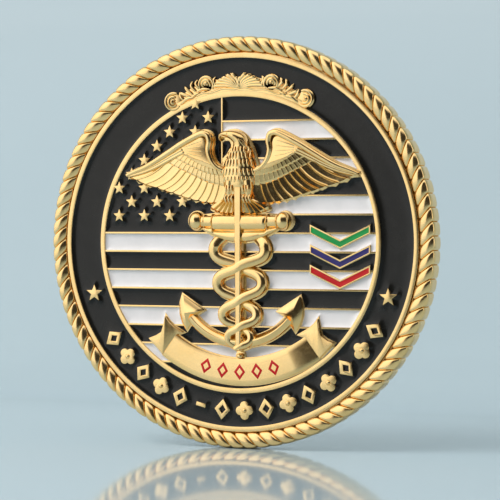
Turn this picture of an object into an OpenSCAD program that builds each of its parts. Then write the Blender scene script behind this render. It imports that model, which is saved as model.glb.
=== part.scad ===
// Challenge coin: a cast, gold-plated planchet with a rope rim, soft-enamel
// cells and an applied emblem of castings that peg into blind holes.
// The coin stands on its rim, obverse towards -Y, centred on the Z axis.

/* [Coin] */
// Diameter over the rope rim, mm
coin_d = 50.8; // [44:0.2:60]
// Thickness over the rope rim, mm
rim_t = 3.3; // [3:0.1:4]
// Height of the polished rings and cell walls above the coin's mid-plane, mm
wall_h = 1.2; // [1:0.05:1.4]
// Depth of the enamel cells below the tops of their walls, mm
cell_depth = 0.65; // [0.4:0.05:0.8]
// How far the enamel lies below the tops of its walls, mm
enamel_drop = 0.2; // [0.1:0.02:0.3]
// Width of the thin walls between the enamel cells, mm
wall_w = 0.24; // [0.16:0.02:0.4]

/* [Rope rim] */
// Strands round the rim
strands = 92; // [76:4:108]
// Width of the groove between two strands, mm
strand_gap = 0.2; // [0.1:0.02:0.3]

/* [Flag field] */
// Height of one white stripe with its two thin walls, mm
white_h = 2.54; // [2.4:0.02:2.7]
// Pitch of one white and one black stripe, mm
pair_pitch = 4.585; // [4.5:0.005:4.65]
// X of the wall on the right of the star field, mm
canton_x = -2.0; // [-3:0.1:-1]
// Radius of a star of the star field, mm
star_r = 0.8; // [0.6:0.05:1]
// Radius of the two stars in the border, mm
border_star_r = 1.2; // [0.9:0.05:1.5]

/* [Chevrons] */
// X of the middle of the three chevrons, mm
chevron_x = 13.42; // [13:0.05:13.6]
// Width of a chevron, mm
chevron_w = 7.75; // [7:0.05:7.9]
// Height of a chevron's arm, measured upright, mm
chevron_h = 1.1; // [0.9:0.05:1.2]
// Distance from one chevron to the next, mm
chevron_pitch = 2.43; // [2.3:0.01:2.6]

/* [Emblem] */
// X of the emblem's middle, mm
emblem_x = 0.55; // [0:0.05:0.6]
// Height of the breast and the serpents above the walls, mm
emblem_h = 1.3; // [1.1:0.05:1.5]
// How far the seat shows round a casting, mm
seat_edge = 0.18; // [0.1:0.02:0.2]

/* [Pegs] */
// Radius of the pegs that locate the castings, mm
peg_r = 0.5; // [0.4:0.05:0.55]
// Length of a peg below its casting, mm
peg_len = 0.9; // [0.6:0.05:1]
// Gap between a peg and its blind hole, mm
peg_gap = 0.03; // [0.02:0.01:0.06]

/* [Hidden] */

$fn = 64;
coin_r = coin_d / 2;
unit = coin_r / 25.4;
rope_h = rim_t / 2;
floor_h = wall_h - cell_depth;
enamel_h = wall_h - enamel_drop;
top_h = wall_h + emblem_h;
// The wings and flukes stand this much higher than the middle, so the coin lies steady
emblem_relief = 0.12;
middle_h = top_h - emblem_relief;
y_mid = (top_h - rope_h) / 2;
eps = 0.01;

border_out = 22.7 * unit;
border_in = 18.6 * unit;
field_r = 17.95 * unit;
black_h = pair_pitch - white_h;

gold = [0.88, 0.68, 0.34];
gold_dark = [0.78, 0.56, 0.24];
black = [0.07, 0.07, 0.07];
white = [0.9, 0.88, 0.87];

// Rope strand: its root and its rounded end, and how far it leans round the coin
strand_root = 23.35 * unit;
strand_tip = coin_r - 0.55 * unit;
strand_pitch = 360 / strands;
strand_lean = 3.4;
scallop = 0.28 * unit;
// The rope rounds off from its middle to its faces: [half-thickness, drop in radius]
edge_steps = [[0.3, 0], [0.8, 0.1], [wall_h, 0.3]];

// Chevrons: slope of the arms, lower point of the top one, and the frame's width
chevron_slope = 25.7;
chevron_point = -0.73;
chevron_wall = 0.2;

// Star field: first star, column pitch and row pitch
canton_first = [-16, 3.3];
canton_step = [3.47, 1.735];

// Eagle, right half: rim of the wing from the shoulder round to the feathers
wing_inner = [
  [1.2, 8.8], [2.5, 9.3], [3.3, 10.1], [3.7, 11.3], [3.55, 12.4], [3.8, 13.4],
  [4.6, 13.8], [5.6, 13.6]
];
wing_lead = [
  [7.9, 12.45], [9.4, 11.55], [11.4, 10.35], [12.9, 9.55], [14.4, 8.95], [15.35, 8.5]
];
// Tips of the flight feathers, from the wing's end to the body
feather_tips = [
  [15.0, 8.05], [13.75, 7.45], [12.3, 6.95], [10.6, 6.5], [9.4, 6.1], [8.2, 5.75],
  [7.1, 5.35], [6.0, 5.05], [4.9, 4.85], [3.9, 4.75], [3.0, 4.9]
];
// Lower edge of the wing coverts
covert_edge = [
  [14.2, 8.6], [12.4, 9.2], [9.8, 10.05], [7.7, 9.1], [5.9, 8.3], [4.4, 7.7], [2.6, 7.2],
  [1.2, 7.0]
];
// Head and neck, from the nape over the crown to the throat
head = [
  [2.05, 9.2], [1.85, 11], [1.3, 12.3], [0.6, 13.2], [-0.4, 13.75], [-1.5, 13.75],
  [-2.35, 13.45], [-2.6, 13], [-2.4, 12.55], [-2.1, 12.75], [-1.6, 12.7], [-1.25, 12.3],
  [-1.2, 11.7], [-1.7, 10.9], [-2.15, 9.8]
];
// Body of the eagle: distance from its middle line, and height on the coin
breast = [[0, 12.6], [0.9, 12.2], [1.7, 11], [2.15, 9.4], [2.15, 8.2], [1.7, 7.2], [0, 6.9]];
belly = [[-2.1, 4.8], [2.1, 4.8], [2.15, 9.4], [-2.15, 9.4]];
// Share of the emblem's height reached by the flight feathers and by the coverts
feather_share = 0.45;
covert_share = 0.7;
// Heights of the tail, the belly and the head above the walls
tail_rise = 0.6;
belly_rise = 0.65;
head_rise = 1.05;
breast_r = 2.15;
// Tail fan, right half
tail_fan = [[0, 5.4], [2.4, 5.2], [3.9, 4.2], [3.2, 3.75], [2.3, 3.5], [1.2, 3.55], [0, 3.9]];

// Anchor: stock, arms and one fluke
stock_z = 2.0;
stock_half = 4.9;
stock_rise = 1.4;
stock_r = 1.15;
ball_x = 5.83;
ball_z = 2.65;
ball_r = 1.1;
arm_z = -3.85;
arm_r = 8.45;
arm_half = 0.62;
arm_reach = 50;
arm_rise = 0.45;
arm_step = 0.25;
fluke = [
  [7.17, -10.9], [7.75, -10], [8.1, -8.9], [8.15, -7.6], [7.8, -6.5], [6.1, -7.6],
  [4.85, -8.4], [6.05, -9.1], [6.45, -9.85]
];
fluke_peak = [7.1, -8.75];
// Right half of the seat under the stock
stock_half_seat = [[0, 3.5], [3, 3.5], [5.2, 3.2], [5.2, 1.9], [3.4, 0.6], [0, 0]];

// Staff
staff_top = 6.75;
staff_end = -13.2;
staff_r = 0.56;
staff_rise = 0.54;
knob_z = -13.9;
knob_r = 0.52;
knob_rise = 0.2;

// Serpents: half-breadth and height of each loop, from the stock to the staff's foot
loop_bulge = [3.4, 2.95, 2.25, 1.5];
loop_z = [-1.0, -5.0, -8.9, -11.75];
cross_z = [1.2, -3.0, -7.15, -10.45, -13.15];
serpent_r = [0.72, 0.66, 0.6, 0.5];
serpent_tail = [0.9, 1.9];
serpent_low = 0.85;
serpent_step = 0.15;
bend_steps = 8;
loop_steps = 2 * bend_steps;

// Ribbon: arc band and one swallow tail
ribbon_in = 14.3 * unit;
ribbon_out = 17.5 * unit;
ribbon_half_angle = 36.5;
ribbon_thick = 0.5;
motif_floor = wall_h + 0.4 * ribbon_thick;
tail_share = 0.6;
tail = [
  [8.5, -11.5], [7.65, -11.2], [8.9, -10.5], [9.6, -9.9], [10.1, -9.2], [10.3, -10.3],
  [10.6, -11.3], [11.4, -11.8], [12.2, -12.1], [11.3, -13], [10.4, -14]
];
lozenges = 5;
lozenge_pitch = 8.2;

// Border ornament: angle of its middle, spacing, and motifs on either side
motif_r = 20.7 * unit;
motif_first = 216;
motif_step = 8.1;
motif_count = 14;
bar_place = 5;

// Scrolls of the crest, right half: x, y and radius
crest_scrolls = [
  [1.35, 19.85, 1.05], [2.9, 19.55, 0.8], [4.45, 19.45, 0.95], [6.2, 18.8, 0.8], [8.65, 17.5, 1.1]
];

// A smooth open curve through the points
function curve(p, n = 6) = [
  for (i = [0 : len(p) - 2])
    for (j = [0 : n - 1])
      let (t = j / n, a = p[max(i - 1, 0)], b = p[i], c = p[i + 1], d = p[min(i + 2, len(p) - 1)])
        0.5 * (2 * b + (c - a) * t + (2 * a - 5 * b + 4 * c - d) * t * t
          + (3 * b - a - 3 * c + d) * t * t * t),
  p[len(p) - 1]
];

// The points with their order turned round and x negated
function flip_x(p) = [for (i = [len(p) - 1 : -1 : 0]) [-p[i][0], p[i][1]]];

function unit_vec(v) = v / max(norm(v), 1e-6);

// A closed outline moved outwards by d
function grow(p, d) = [
  for (i = [0 : len(p) - 1])
    let (n = len(p), e = unit_vec(p[(i + 1) % n] - p[(i + n - 1) % n]))
      p[i] + d * [e[1], -e[0]]
];

function at(a, r) = [r * cos(a), r * sin(a)];

// Puts a shape drawn in the plane of the coin, height up, onto the standing coin
module upright() {
  translate([0, y_mid, coin_r])
    rotate([90, 0, 0])
      children();
}

// The same shape on the coin's back
module turned_over() {
  rotate([0, 180, 0])
    children();
}

// A layer of the coin between two heights above the mid-plane
module layer(low, high) {
  translate([0, 0, low])
    linear_extrude(high - low)
      children();
}

// ---- Plane shapes -------------------------------------------------------

module disc(r) {
  circle(r = r, $fn = 240);
}

module ring(inner, outer) {
  difference() {
    disc(outer);
    disc(inner);
  }
}

module star(r) {
  polygon([for (i = [0 : 9]) at(90 + 36 * i, i % 2 == 0 ? r : 0.42 * r)]);
}

module scalloped_disc(drop) {
  steps = 5;
  polygon([
    for (i = [0 : strands * steps - 1])
      at(90 + i * strand_pitch / steps, coin_r - drop - scallop * abs(sin(i * 180 / steps)))
  ]);
}

// Ring of leaning strands with round ends
module strand_ring() {
  half = (2 * PI * strand_tip / strands - strand_gap) / 2 * 0.82;
  tip = strand_tip - half;
  polygon([
    for (i = [0 : strands - 1])
      let (a = 90 + i * strand_pitch)
        each [
          at(a - strand_lean - strand_pitch * 0.46, strand_root),
          for (j = [0 : 4]) at(a, tip) + half * at(a - 90 + 45 * j, 1),
          at(a - strand_lean + strand_pitch * 0.46, strand_root)
        ]
  ]);
}

module lozenge(w, h) {
  polygon([[w / 2, 0], [0, h / 2], [-w / 2, 0], [0, -h / 2]]);
}

module hollow_lozenge(w, h, inner) {
  difference() {
    lozenge(w, h);
    lozenge(w * inner, h * inner);
  }
}

module border_lozenge() {
  hollow_lozenge(2.1, 2.6, 0.42);
}

module quatrefoil(r) {
  difference() {
    union() {
      for (a = [0 : 90 : 270])
        translate(at(a, r * 0.52))
          circle(r = r * 0.5, $fn = 24);
      circle(r = r * 0.5, $fn = 24);
    }
    circle(r = r * 0.24, $fn = 24);
  }
}

module border_motifs() {
  for (i = [0 : motif_count])
    let (a = motif_first + i * motif_step)
      translate(at(a, motif_r))
        rotate(a + 90)
          if (i == bar_place)
            square([1.3, 0.5], center = true);
          else if (i % 2 == 0)
            border_lozenge();
          else
            quatrefoil(1.15);
}

// Scrolled crest over the field, standing on the inner ring
module crest() {
  for (s = [-1, 1])
    for (c = crest_scrolls)
      translate([s * c[0], c[1]] * unit)
        circle(r = c[2] * unit);
  intersection() {
    ring(border_in - eps, 19.4 * unit);
    polygon([[0, 0], [9.6, 18.2], [6, 24], [-6, 24], [-9.6, 18.2]] * unit);
  }
}

module border_raised() {
  border_motifs();
  crest();
  for (s = [-1, 1])
    translate([s * 19.5, -6.5] * unit)
      star(border_star_r);
}

// Stars on a staggered grid; odd rows stand half a column to the right
module canton_stars() {
  intersection() {
    for (row = [0 : 8])
      for (col = [0 : 4])
        let (
          x = canton_first[0] + (col + (row % 2) / 2) * canton_step[0],
          y = canton_first[1] + row * canton_step[1]
        )
          if (norm([x, y]) < field_r + star_r && x < canton_x - star_r)
            translate([x, y])
              star(star_r);
    disc(field_r + eps);
  }
}

// The middle of white stripe k, counted from the middle stripe
function white_y(k) = k * pair_pitch;

module white_walls() {
  for (k = [-3 : 3])
    for (s = [-1, 1])
      let (x0 = k > 0 ? canton_x : -coin_r)
        translate([x0, white_y(k) + s * (white_h - wall_w) / 2 - wall_w / 2])
          square([coin_r - x0, wall_w]);
}

module field_walls() {
  intersection() {
    union() {
      white_walls();
      translate([canton_x - wall_w / 2, white_h / 2 - wall_w])
        square([wall_w, coin_r]);
    }
    disc(field_r + eps);
  }
}

// V-shaped band: w wide, h high, its lower point at y
module vee(w, h, y) {
  rise = w / 2 * tan(chevron_slope);
  translate([chevron_x, y])
    polygon([[0, 0], [w / 2, rise], [w / 2, rise + h], [0, h], [-w / 2, rise + h], [-w / 2, rise]]);
}

function chevron_y(i) = chevron_point - i * chevron_pitch;

module chevron_cell(i) {
  w = chevron_w - 2 * chevron_wall;
  vee(w, chevron_h - 2.2 * chevron_wall, chevron_y(i) + 1.2 * chevron_wall);
}

module chevron_cells() {
  for (i = [0 : 2])
    chevron_cell(i);
}

// ---- Outlines of the emblem ---------------------------------------------

// Rounded feather tips between the points of the list
function scalloped(p, depth) = [
  for (i = [0 : len(p) - 2])
    for (j = [0 : 3])
      let (
        t = (j + 0.5) / 4,
        e = unit_vec(p[i + 1] - p[i])
      )
        p[i] + (p[i + 1] - p[i]) * t + depth * (sin(180 * t) - 0.5) * [-e[1], e[0]]
];

wing_outline = concat(
  curve(concat(wing_inner, wing_lead)),
  scalloped(feather_tips, 0.25),
  [[1.2, 5.2]]
);
covert_outline = concat(curve(concat(wing_inner, wing_lead)), curve(covert_edge));
tail_outline = concat(flip_x(curve(tail_fan, 4)), curve(tail_fan, 4));
fluke_outline = concat(curve([for (i = [0 : 4]) fluke[i]], 3), [for (i = [5 : 8]) fluke[i]]);
head_outline = curve(head);
stock_seat = concat([[-0.2, 3.5]], curve(stock_half_seat, 4));

module emblem_place() {
  translate([emblem_x, 0])
    children();
}

module both_sides() {
  children();
  mirror([1, 0])
    children();
}

module eagle_plan(edge = 0) {
  both_sides()
    polygon(grow(wing_outline, -edge));
  polygon(grow(head_outline, edge));
  polygon(grow(belly, edge));
  polygon(grow(tail_outline, -edge));
}

module arms_plan(edge = 0) {
  intersection() {
    translate([0, arm_z])
      ring(arm_r - arm_half - edge, arm_r + arm_half + edge);
    polygon([[0, arm_z], at(-90 - arm_reach, 20), [0, -60], at(-90 + arm_reach, 20)]);
  }
}

module anchor_plan(edge = 0) {
  both_sides() {
    translate([ball_x, ball_z])
      circle(r = ball_r + edge);
    polygon(grow(fluke_outline, edge));
  }
  arms_plan(edge);
  both_sides()
    polygon(grow(stock_seat, -edge));
}

module staff_plan(edge = 0) {
  translate([-staff_r - edge, staff_end - edge])
    square([2 * staff_r + 2 * edge, staff_top - staff_end + 2 * edge]);
  translate([0, knob_z])
    circle(r = knob_r + edge);
}

// A smooth path from p0, leaving along d0, to p1, arriving along d1
function bend(p0, d0, p1, d1) = [
  for (j = [0 : bend_steps - 1])
    let (t = j / bend_steps)
      (2 * t ^ 3 - 3 * t ^ 2 + 1) * p0 + (t ^ 3 - 2 * t ^ 2 + t) * d0
        + (3 * t ^ 2 - 2 * t ^ 3) * p1 + (t ^ 3 - t ^ 2) * d1
];

// Middle line of one serpent: s is 1 for the one that starts on the right. It passes
// over the other where it runs from the right side down to the left.
function side(k, s) = (k % 2 == 0 ? 1 : -1) * s;
function loop_start(k, s) = k == 0 ? [s * serpent_tail[0], serpent_tail[1]] : [0, cross_z[k]];
function loop_end(k, s) =
  k < 3 ? [0, cross_z[k + 1]] : [-side(k, s) * 0.4, cross_z[k + 1] - 0.05 * s];
function serpent_path(s) = concat(
  [for (k = [0 : 3])
    let (
      out = side(k, s),
      from = loop_start(k, s),
      to = loop_end(k, s),
      tip = [out * loop_bulge[k], loop_z[k]],
      above = from[1] - tip[1],
      below = tip[1] - cross_z[k + 1],
      turn = [0, -2.1 * min(above, below)],
      lean = k == 0 ? 0.66 : 1.1
    )
    each concat(
      bend(from, [out * lean * above, -1.1 * above], tip, turn),
      bend(tip, turn, to, [-out * 1.1 * below, -1.1 * below])
    )
  ],
  [loop_end(3, s)]
);

function serpent_radius(y) = lookup(y, [for (k = [3 : -1 : 0]) [loop_z[k], serpent_r[k]]]);

// Points a to b of a path
function stretch(p, a, b) = [for (i = [max(a, 0) : min(b, len(p) - 1)]) p[i]];

// Outline of a band that follows a path at half-width w(y) + edge
function band(p, edge = 0) =
  let (
    n = len(p),
    side_of = function (i) let (v = unit_vec([
      p[min(i + 1, n - 1)][0] - p[max(i - 1, 0)][0],
      p[min(i + 1, n - 1)][1] - p[max(i - 1, 0)][1]
    ])) [v[1], -v[0]]
  )
  concat(
    [for (i = [0 : n - 1]) [p[i][0], p[i][1]] + (serpent_radius(p[i][1]) + edge) * side_of(i)],
    [for (i = [n - 1 : -1 : 0]) [p[i][0], p[i][1]] - (serpent_radius(p[i][1]) + edge) * side_of(i)]
  );

module serpents_plan(edge = 0) {
  for (s = [-1, 1])
    for (k = [0 : 3])
      polygon(band(stretch(serpent_path(s), loop_steps * k, loop_steps * (k + 1)), edge));
}

// The part of the plane within an angle of straight down
module wedge(half) {
  polygon([[0, 0], at(-90 - half, 30), [0, -60], at(-90 + half, 30)]);
}

module ribbon_band(edge = 0) {
  intersection() {
    ring(ribbon_in - edge, ribbon_out + edge);
    wedge(ribbon_half_angle);
  }
}

module tails_plan(edge = 0) {
  both_sides()
    polygon(grow(tail, -edge));
}

module ribbon_motifs() {
  for (i = [0 : lozenges - 1])
    rotate((i - (lozenges - 1) / 2) * lozenge_pitch)
      translate([0, -(ribbon_in + ribbon_out) / 2])
        hollow_lozenge(1.5, 2.0, 0.5);
}

// Raised seats that show as a thin gold line round the castings
module seats() {
  emblem_place() {
    eagle_plan(seat_edge);
    anchor_plan(seat_edge);
    staff_plan(seat_edge);
    serpents_plan(seat_edge);
    ribbon_band(seat_edge);
    tails_plan(seat_edge);
  }
}

module chevron_frames() {
  for (i = [0 : 2])
    vee(chevron_w, chevron_h, chevron_y(i));
}

// Everything on the obverse that stands up to the tops of the walls
module front_walls() {
  ring(field_r, border_in);
  border_raised();
  field_walls();
  canton_stars();
  intersection() {
    union() {
      seats();
      chevron_frames();
    }
    disc(border_in);
  }
}

// ---- Pegs ---------------------------------------------------------------

eagle_pegs = [[-6, 9.5], [6, 9.5], [0, 8]];
anchor_pegs = [[-3, 1.9], [3, 1.9], [-3.5, -11.54], [3.5, -11.54]];
caduceus_pegs = [[0, 1.9], [3.2, -1], [-2.85, -5], [0, -12.3]];
ribbon_pegs = [[-7.2, -14.2], [7.2, -14.2]];

module pegs(places) {
  for (p = places)
    translate([emblem_x + p[0], p[1], wall_h - peg_len])
      cylinder(r = peg_r, h = peg_len + 2 * eps);
}

module peg_holes(places) {
  for (p = places)
    translate([emblem_x + p[0], p[1], wall_h - peg_len - 2 * peg_gap])
      cylinder(r = peg_r + peg_gap, h = peg_len + 1);
}

// ---- Planchet -----------------------------------------------------------

reverse_hub = 3.2;
reverse_point = 15.5;

// Eight-pointed compass rose
module compass_rose() {
  for (a = [0 : 90 : 270])
    rotate(a) {
      polygon([[0, 0], at(45, reverse_hub), [reverse_point, 0], at(-45, reverse_hub)]);
      rotate(45)
        polygon([[0, 0], at(22, 4), [reverse_point * 0.66, 0], at(-22, 4)]);
    }
}

module reverse_walls() {
  ring(field_r, border_in);
  for (i = [0 : 15])
    translate(at(i * 22.5, motif_r))
      if (i % 2 == 0)
        border_lozenge();
      else
        circle(r = 0.45);
  compass_rose();
}

module raised_strands() {
  layer(wall_h - eps, rope_h)
    difference() {
      strand_ring();
      circle(r = strand_root - 0.1);
    }
}

module planchet() {
  difference() {
    union() {
      for (e = edge_steps)
        layer(-e[0], e[0])
          scalloped_disc(e[1] * unit);
      raised_strands();
      turned_over()
        raised_strands();
    }
    layer(floor_h, top_h)
      difference() {
        disc(border_out);
        front_walls();
      }
    turned_over()
      layer(floor_h, top_h)
        difference() {
          disc(border_out);
          reverse_walls();
        }
    peg_holes(concat(eagle_pegs, anchor_pegs, caduceus_pegs, ribbon_pegs));
  }
}

// ---- Enamel -------------------------------------------------------------

module enamel() {
  layer(floor_h, enamel_h)
    children();
}

module white_cell(k) {
  x0 = k > 0 ? canton_x + wall_w / 2 : -coin_r;
  translate([x0, white_y(k) - white_h / 2 + wall_w])
    square([coin_r - x0, white_h - 2 * wall_w]);
}

// Black stripes 1 to 8, from the top of the field down
module black_cell(i) {
  y = white_y(4 - i) + white_h / 2;
  x0 = i < 5 ? canton_x + wall_w / 2 : -coin_r;
  translate([x0, y])
    square([coin_r - x0, i == 1 ? coin_r : black_h]);
}

module stripe() {
  enamel()
    difference() {
      intersection() {
        children();
        disc(field_r);
      }
      seats();
      chevron_frames();
    }
}

module white_stripe(i) {
  color(white)
    upright()
      stripe()
        white_cell(4 - i);
}

module black_stripe(i) {
  color(black)
    upright()
      stripe()
        if (i == 8)
          translate([-coin_r, white_y(-3) - white_h / 2 - coin_r])
            square([2 * coin_r, coin_r]);
        else
          black_cell(i);
}

module border_enamel() {
  color(black)
    upright()
      enamel()
        difference() {
          ring(border_in, border_out);
          border_raised();
        }
}

module canton_enamel() {
  color(black)
    upright()
      enamel()
        difference() {
          intersection() {
            translate([-coin_r, white_h / 2])
              square([coin_r + canton_x - wall_w / 2, coin_r]);
            disc(field_r);
          }
          canton_stars();
          seats();
        }
}

module chevron_enamel(i, shade) {
  color(shade)
    upright()
      enamel()
        chevron_cell(i);
}

module chevron_green_enamel() {
  chevron_enamel(0, [0.08, 0.55, 0.2]);
}

module chevron_blue_enamel() {
  chevron_enamel(1, [0.12, 0.1, 0.42]);
}

module chevron_red_enamel() {
  chevron_enamel(2, [0.75, 0.07, 0.07]);
}

module reverse_border_enamel() {
  color(black)
    upright()
      turned_over()
        enamel()
          difference() {
            ring(border_in, border_out);
            reverse_walls();
          }
}

// ---- Castings -----------------------------------------------------------

module coin_body() {
  color(gold)
    upright()
      difference() {
        planchet();
        layer(floor_h, top_h)
          chevron_cells();
      }
}

// Keeps what stands above the seats
module above_seat() {
  difference() {
    children();
    translate([-coin_r, -coin_r, wall_h - 2 * coin_r])
      cube(2 * coin_r);
  }
}

module wing() {
  layer(wall_h, wall_h + feather_share * emblem_h)
    polygon(wing_outline);
  layer(wall_h, wall_h + covert_share * emblem_h)
    polygon(covert_outline);
  layer(wall_h, top_h)
    polygon(lead_outline);
}

// Rolled leading edge: the rim of the wing and the same line moved inwards
lead_line = curve(concat(wing_inner, wing_lead));
lead_outline = concat(
  lead_line,
  [for (i = [len(lead_line) - 2 : -1 : 1])
    let (e = unit_vec(lead_line[i + 1] - lead_line[i - 1]))
      lead_line[i] + 0.75 * [e[1], -e[0]]]
);

module eagle() {
  color(gold)
    upright() {
      difference() {
        translate([emblem_x, 0, 0]) {
          wing();
          mirror([1, 0, 0])
            wing();
          layer(wall_h, wall_h + tail_rise)
            polygon(tail_outline);
          layer(wall_h, wall_h + head_rise)
            polygon(head_outline);
          layer(wall_h, wall_h + belly_rise)
            polygon(belly);
          above_seat()
            translate([0, 0, middle_h - breast_r])
              rotate([-90, 0, 0])
                rotate_extrude()
                  polygon(breast);
        }
        staff();
        stock_room();
      }
      pegs(eagle_pegs);
    }
}

// Stock: a spindle across the top of the anchor
stock_profile = [
  [0, -stock_half - 0.4], [0.8, -stock_half], [0.95, -3.6], [stock_r, -2], [stock_r, 2], [0.95, 3.6],
  [0.8, stock_half], [0, stock_half + 0.4]
];

module stock() {
  above_seat() {
    translate([0, stock_z, middle_h - stock_r])
      rotate([0, 90, 0])
        rotate_extrude()
          polygon(stock_profile);
    for (s = [-1, 1])
      translate([s * ball_x, ball_z, middle_h - ball_r])
        sphere(r = ball_r);
  }
}

// The eagle's tail stops at the top edge of the stock
module stock_room() {
  translate([emblem_x - stock_half, stock_z - 2, wall_h - 1])
    cube([2 * stock_half, 2 + stock_rise, 4]);
}

// Fluke in three steps that shrink towards its peak
module fluke_plate() {
  for (step = [0 : 2])
    layer(wall_h, wall_h + (0.4 + 0.3 * step) * emblem_h)
      polygon([for (q = fluke_outline) fluke_peak + (1 - 0.27 * step) * (q - fluke_peak)]);
}

module anchor() {
  color(gold)
    upright() {
      difference() {
        translate([emblem_x, 0, 0]) {
          stock();
          layer(wall_h, wall_h + arm_rise)
            arms_plan();
          layer(wall_h, wall_h + arm_rise + arm_step)
            arms_plan(-arm_step);
          fluke_plate();
          mirror([1, 0, 0])
            fluke_plate();
        }
        staff();
        serpent_pair();
      }
      pegs(anchor_pegs);
    }
}

// Six-sided rod with a flat to the front, and a round knob at its foot
module staff() {
  translate([emblem_x, 0, 0])
    above_seat() {
      translate([0, staff_end, wall_h + staff_rise])
        rotate([-90, 0, 0])
          cylinder(r = staff_r / cos(30), h = staff_top - staff_end, $fn = 6);
      translate([0, knob_z, wall_h + knob_rise])
        sphere(r = knob_r);
    }
}

// One serpent: a low rope, raised where it passes over the other
module serpent(s) {
  p = serpent_path(s);
  reach = bend_steps / 2;
  layer(wall_h, wall_h + serpent_low)
    polygon(band(p));
  for (k = [1 : 3])
    if (side(k, s) < 0)
      layer(wall_h, middle_h)
        polygon(band(stretch(p, k * loop_steps - reach, k * loop_steps + reach), -serpent_step));
}

module serpent_pair() {
  translate([emblem_x, 0, 0]) {
    serpent(-1);
    serpent(1);
  }
}

module caduceus() {
  color(gold_dark)
    upright() {
      staff();
      serpent_pair();
      pegs(caduceus_pegs);
    }
}

module ribbon() {
  color(gold)
    upright() {
      difference() {
        translate([emblem_x, 0, 0]) {
          layer(wall_h, wall_h + ribbon_thick)
            ribbon_band();
          layer(wall_h, wall_h + tail_share * ribbon_thick)
            tails_plan();
        }
        translate([emblem_x, 0, 0])
          layer(motif_floor, top_h)
            ribbon_motifs();
      }
      pegs(ribbon_pegs);
    }
}

module ribbon_enamel() {
  color([0.72, 0.08, 0.08])
    upright()
      translate([emblem_x, 0, 0])
        layer(motif_floor, wall_h + 0.85 * ribbon_thick)
          ribbon_motifs();
}

coin_body();
border_enamel();
canton_enamel();
black_stripe(1);  // black_stripe_1
black_stripe(2);  // black_stripe_2
black_stripe(3);  // black_stripe_3
black_stripe(4);  // black_stripe_4
black_stripe(5);  // black_stripe_5
black_stripe(6);  // black_stripe_6
black_stripe(7);  // black_stripe_7
black_stripe(8);  // black_stripe_8
white_stripe(1);  // white_stripe_1
white_stripe(2);  // white_stripe_2
white_stripe(3);  // white_stripe_3
white_stripe(4);  // white_stripe_4
white_stripe(5);  // white_stripe_5
white_stripe(6);  // white_stripe_6
white_stripe(7);  // white_stripe_7
chevron_green_enamel();
chevron_blue_enamel();
chevron_red_enamel();
eagle();
anchor();
caduceus();
ribbon();
ribbon_enamel();
reverse_border_enamel();
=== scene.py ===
import math

import bpy
import numpy as np
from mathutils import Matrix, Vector
from mathutils.kdtree import KDTree


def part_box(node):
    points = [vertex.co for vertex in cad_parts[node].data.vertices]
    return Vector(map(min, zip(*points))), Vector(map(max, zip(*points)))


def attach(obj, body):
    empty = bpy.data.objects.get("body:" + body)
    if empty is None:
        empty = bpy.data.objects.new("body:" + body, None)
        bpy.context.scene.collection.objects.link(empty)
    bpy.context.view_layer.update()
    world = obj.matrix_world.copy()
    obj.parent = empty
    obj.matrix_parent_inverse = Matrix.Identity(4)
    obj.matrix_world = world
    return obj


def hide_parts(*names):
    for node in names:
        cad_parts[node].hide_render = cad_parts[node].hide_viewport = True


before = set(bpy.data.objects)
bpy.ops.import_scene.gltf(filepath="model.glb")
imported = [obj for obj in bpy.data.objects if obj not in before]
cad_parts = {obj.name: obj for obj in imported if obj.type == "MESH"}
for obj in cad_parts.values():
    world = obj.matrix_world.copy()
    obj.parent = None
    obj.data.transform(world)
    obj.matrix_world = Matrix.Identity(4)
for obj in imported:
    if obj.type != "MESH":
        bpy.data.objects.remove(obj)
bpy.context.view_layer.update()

# ---- The coin's own space -----------------------------------------------
# Shapes are drawn in coin millimetres: x to the right, y up the face, h out of the
# face from the coin's mid-plane. The coin is 50.8 of these across.

DESIGN_DIAMETER = 50.8
body_low, body_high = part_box("coin_body")
MM = (body_high.z - body_low.z) / DESIGN_DIAMETER
MID_Y = (body_low.y + body_high.y) / 2
CENTRE_Z = (body_low.z + body_high.z) / 2

# Heights of the recessed floor, what stands on it, and the castings' feet
FLOOR_H = 0.5
WALL_H = 1.2
BASE = WALL_H - 0.1
ROOT = FLOOR_H - 0.02

# Radii, from the rim inwards
RING_OUT = 23.32
PLANCHET_R = 23.0
BORDER_OUT = 22.7
MOTIF_R = 20.7
BORDER_IN = 18.6
CELL_R = 18.25
FIELD_R = 17.95

# The flag: stripes, their walls, and the corner with the stars
WALL_W = 0.24
WHITE_H = 2.54
PAIR_PITCH = 4.585
CANTON_X = -2.0
STAR_R = 0.8
STAR_PITCH = 3.47
STAR_ROW = STAR_PITCH / 2

# The chevrons
CHEVRON_X = 13.42
CHEVRON_W = 7.75
CHEVRON_H = 1.1
CHEVRON_PITCH = 2.43
CHEVRON_ANGLE = math.radians(25.7)

# The emblem stands a little right of the middle, on seats wider than itself
EMBLEM_X = 0.55
SEAT_EDGE = 0.18
BALL_SPOT = (5.83, 2.65)

# Hollow lozenges: width, height and the share of both that is hollow
BORDER_LOZENGE = (2.1, 2.6, 0.42)
RIBBON_LOZENGE = (1.5, 2.0, 0.5)

ROUNDING = [math.radians(a) for a in (0, 30, 60, 90)]
FINE = 2


def to_world(points):
    """Coin millimetres to the frame's metres: the face looks towards -Y."""
    p = np.asarray(points, float).reshape(-1, 3)
    return np.column_stack([p[:, 0] * MM, MID_Y - p[:, 2] * MM, CENTRE_Z + p[:, 1] * MM])


# ---- Mesh building ------------------------------------------------------
# A solid is (points, faces), closed, in coin space.


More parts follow.
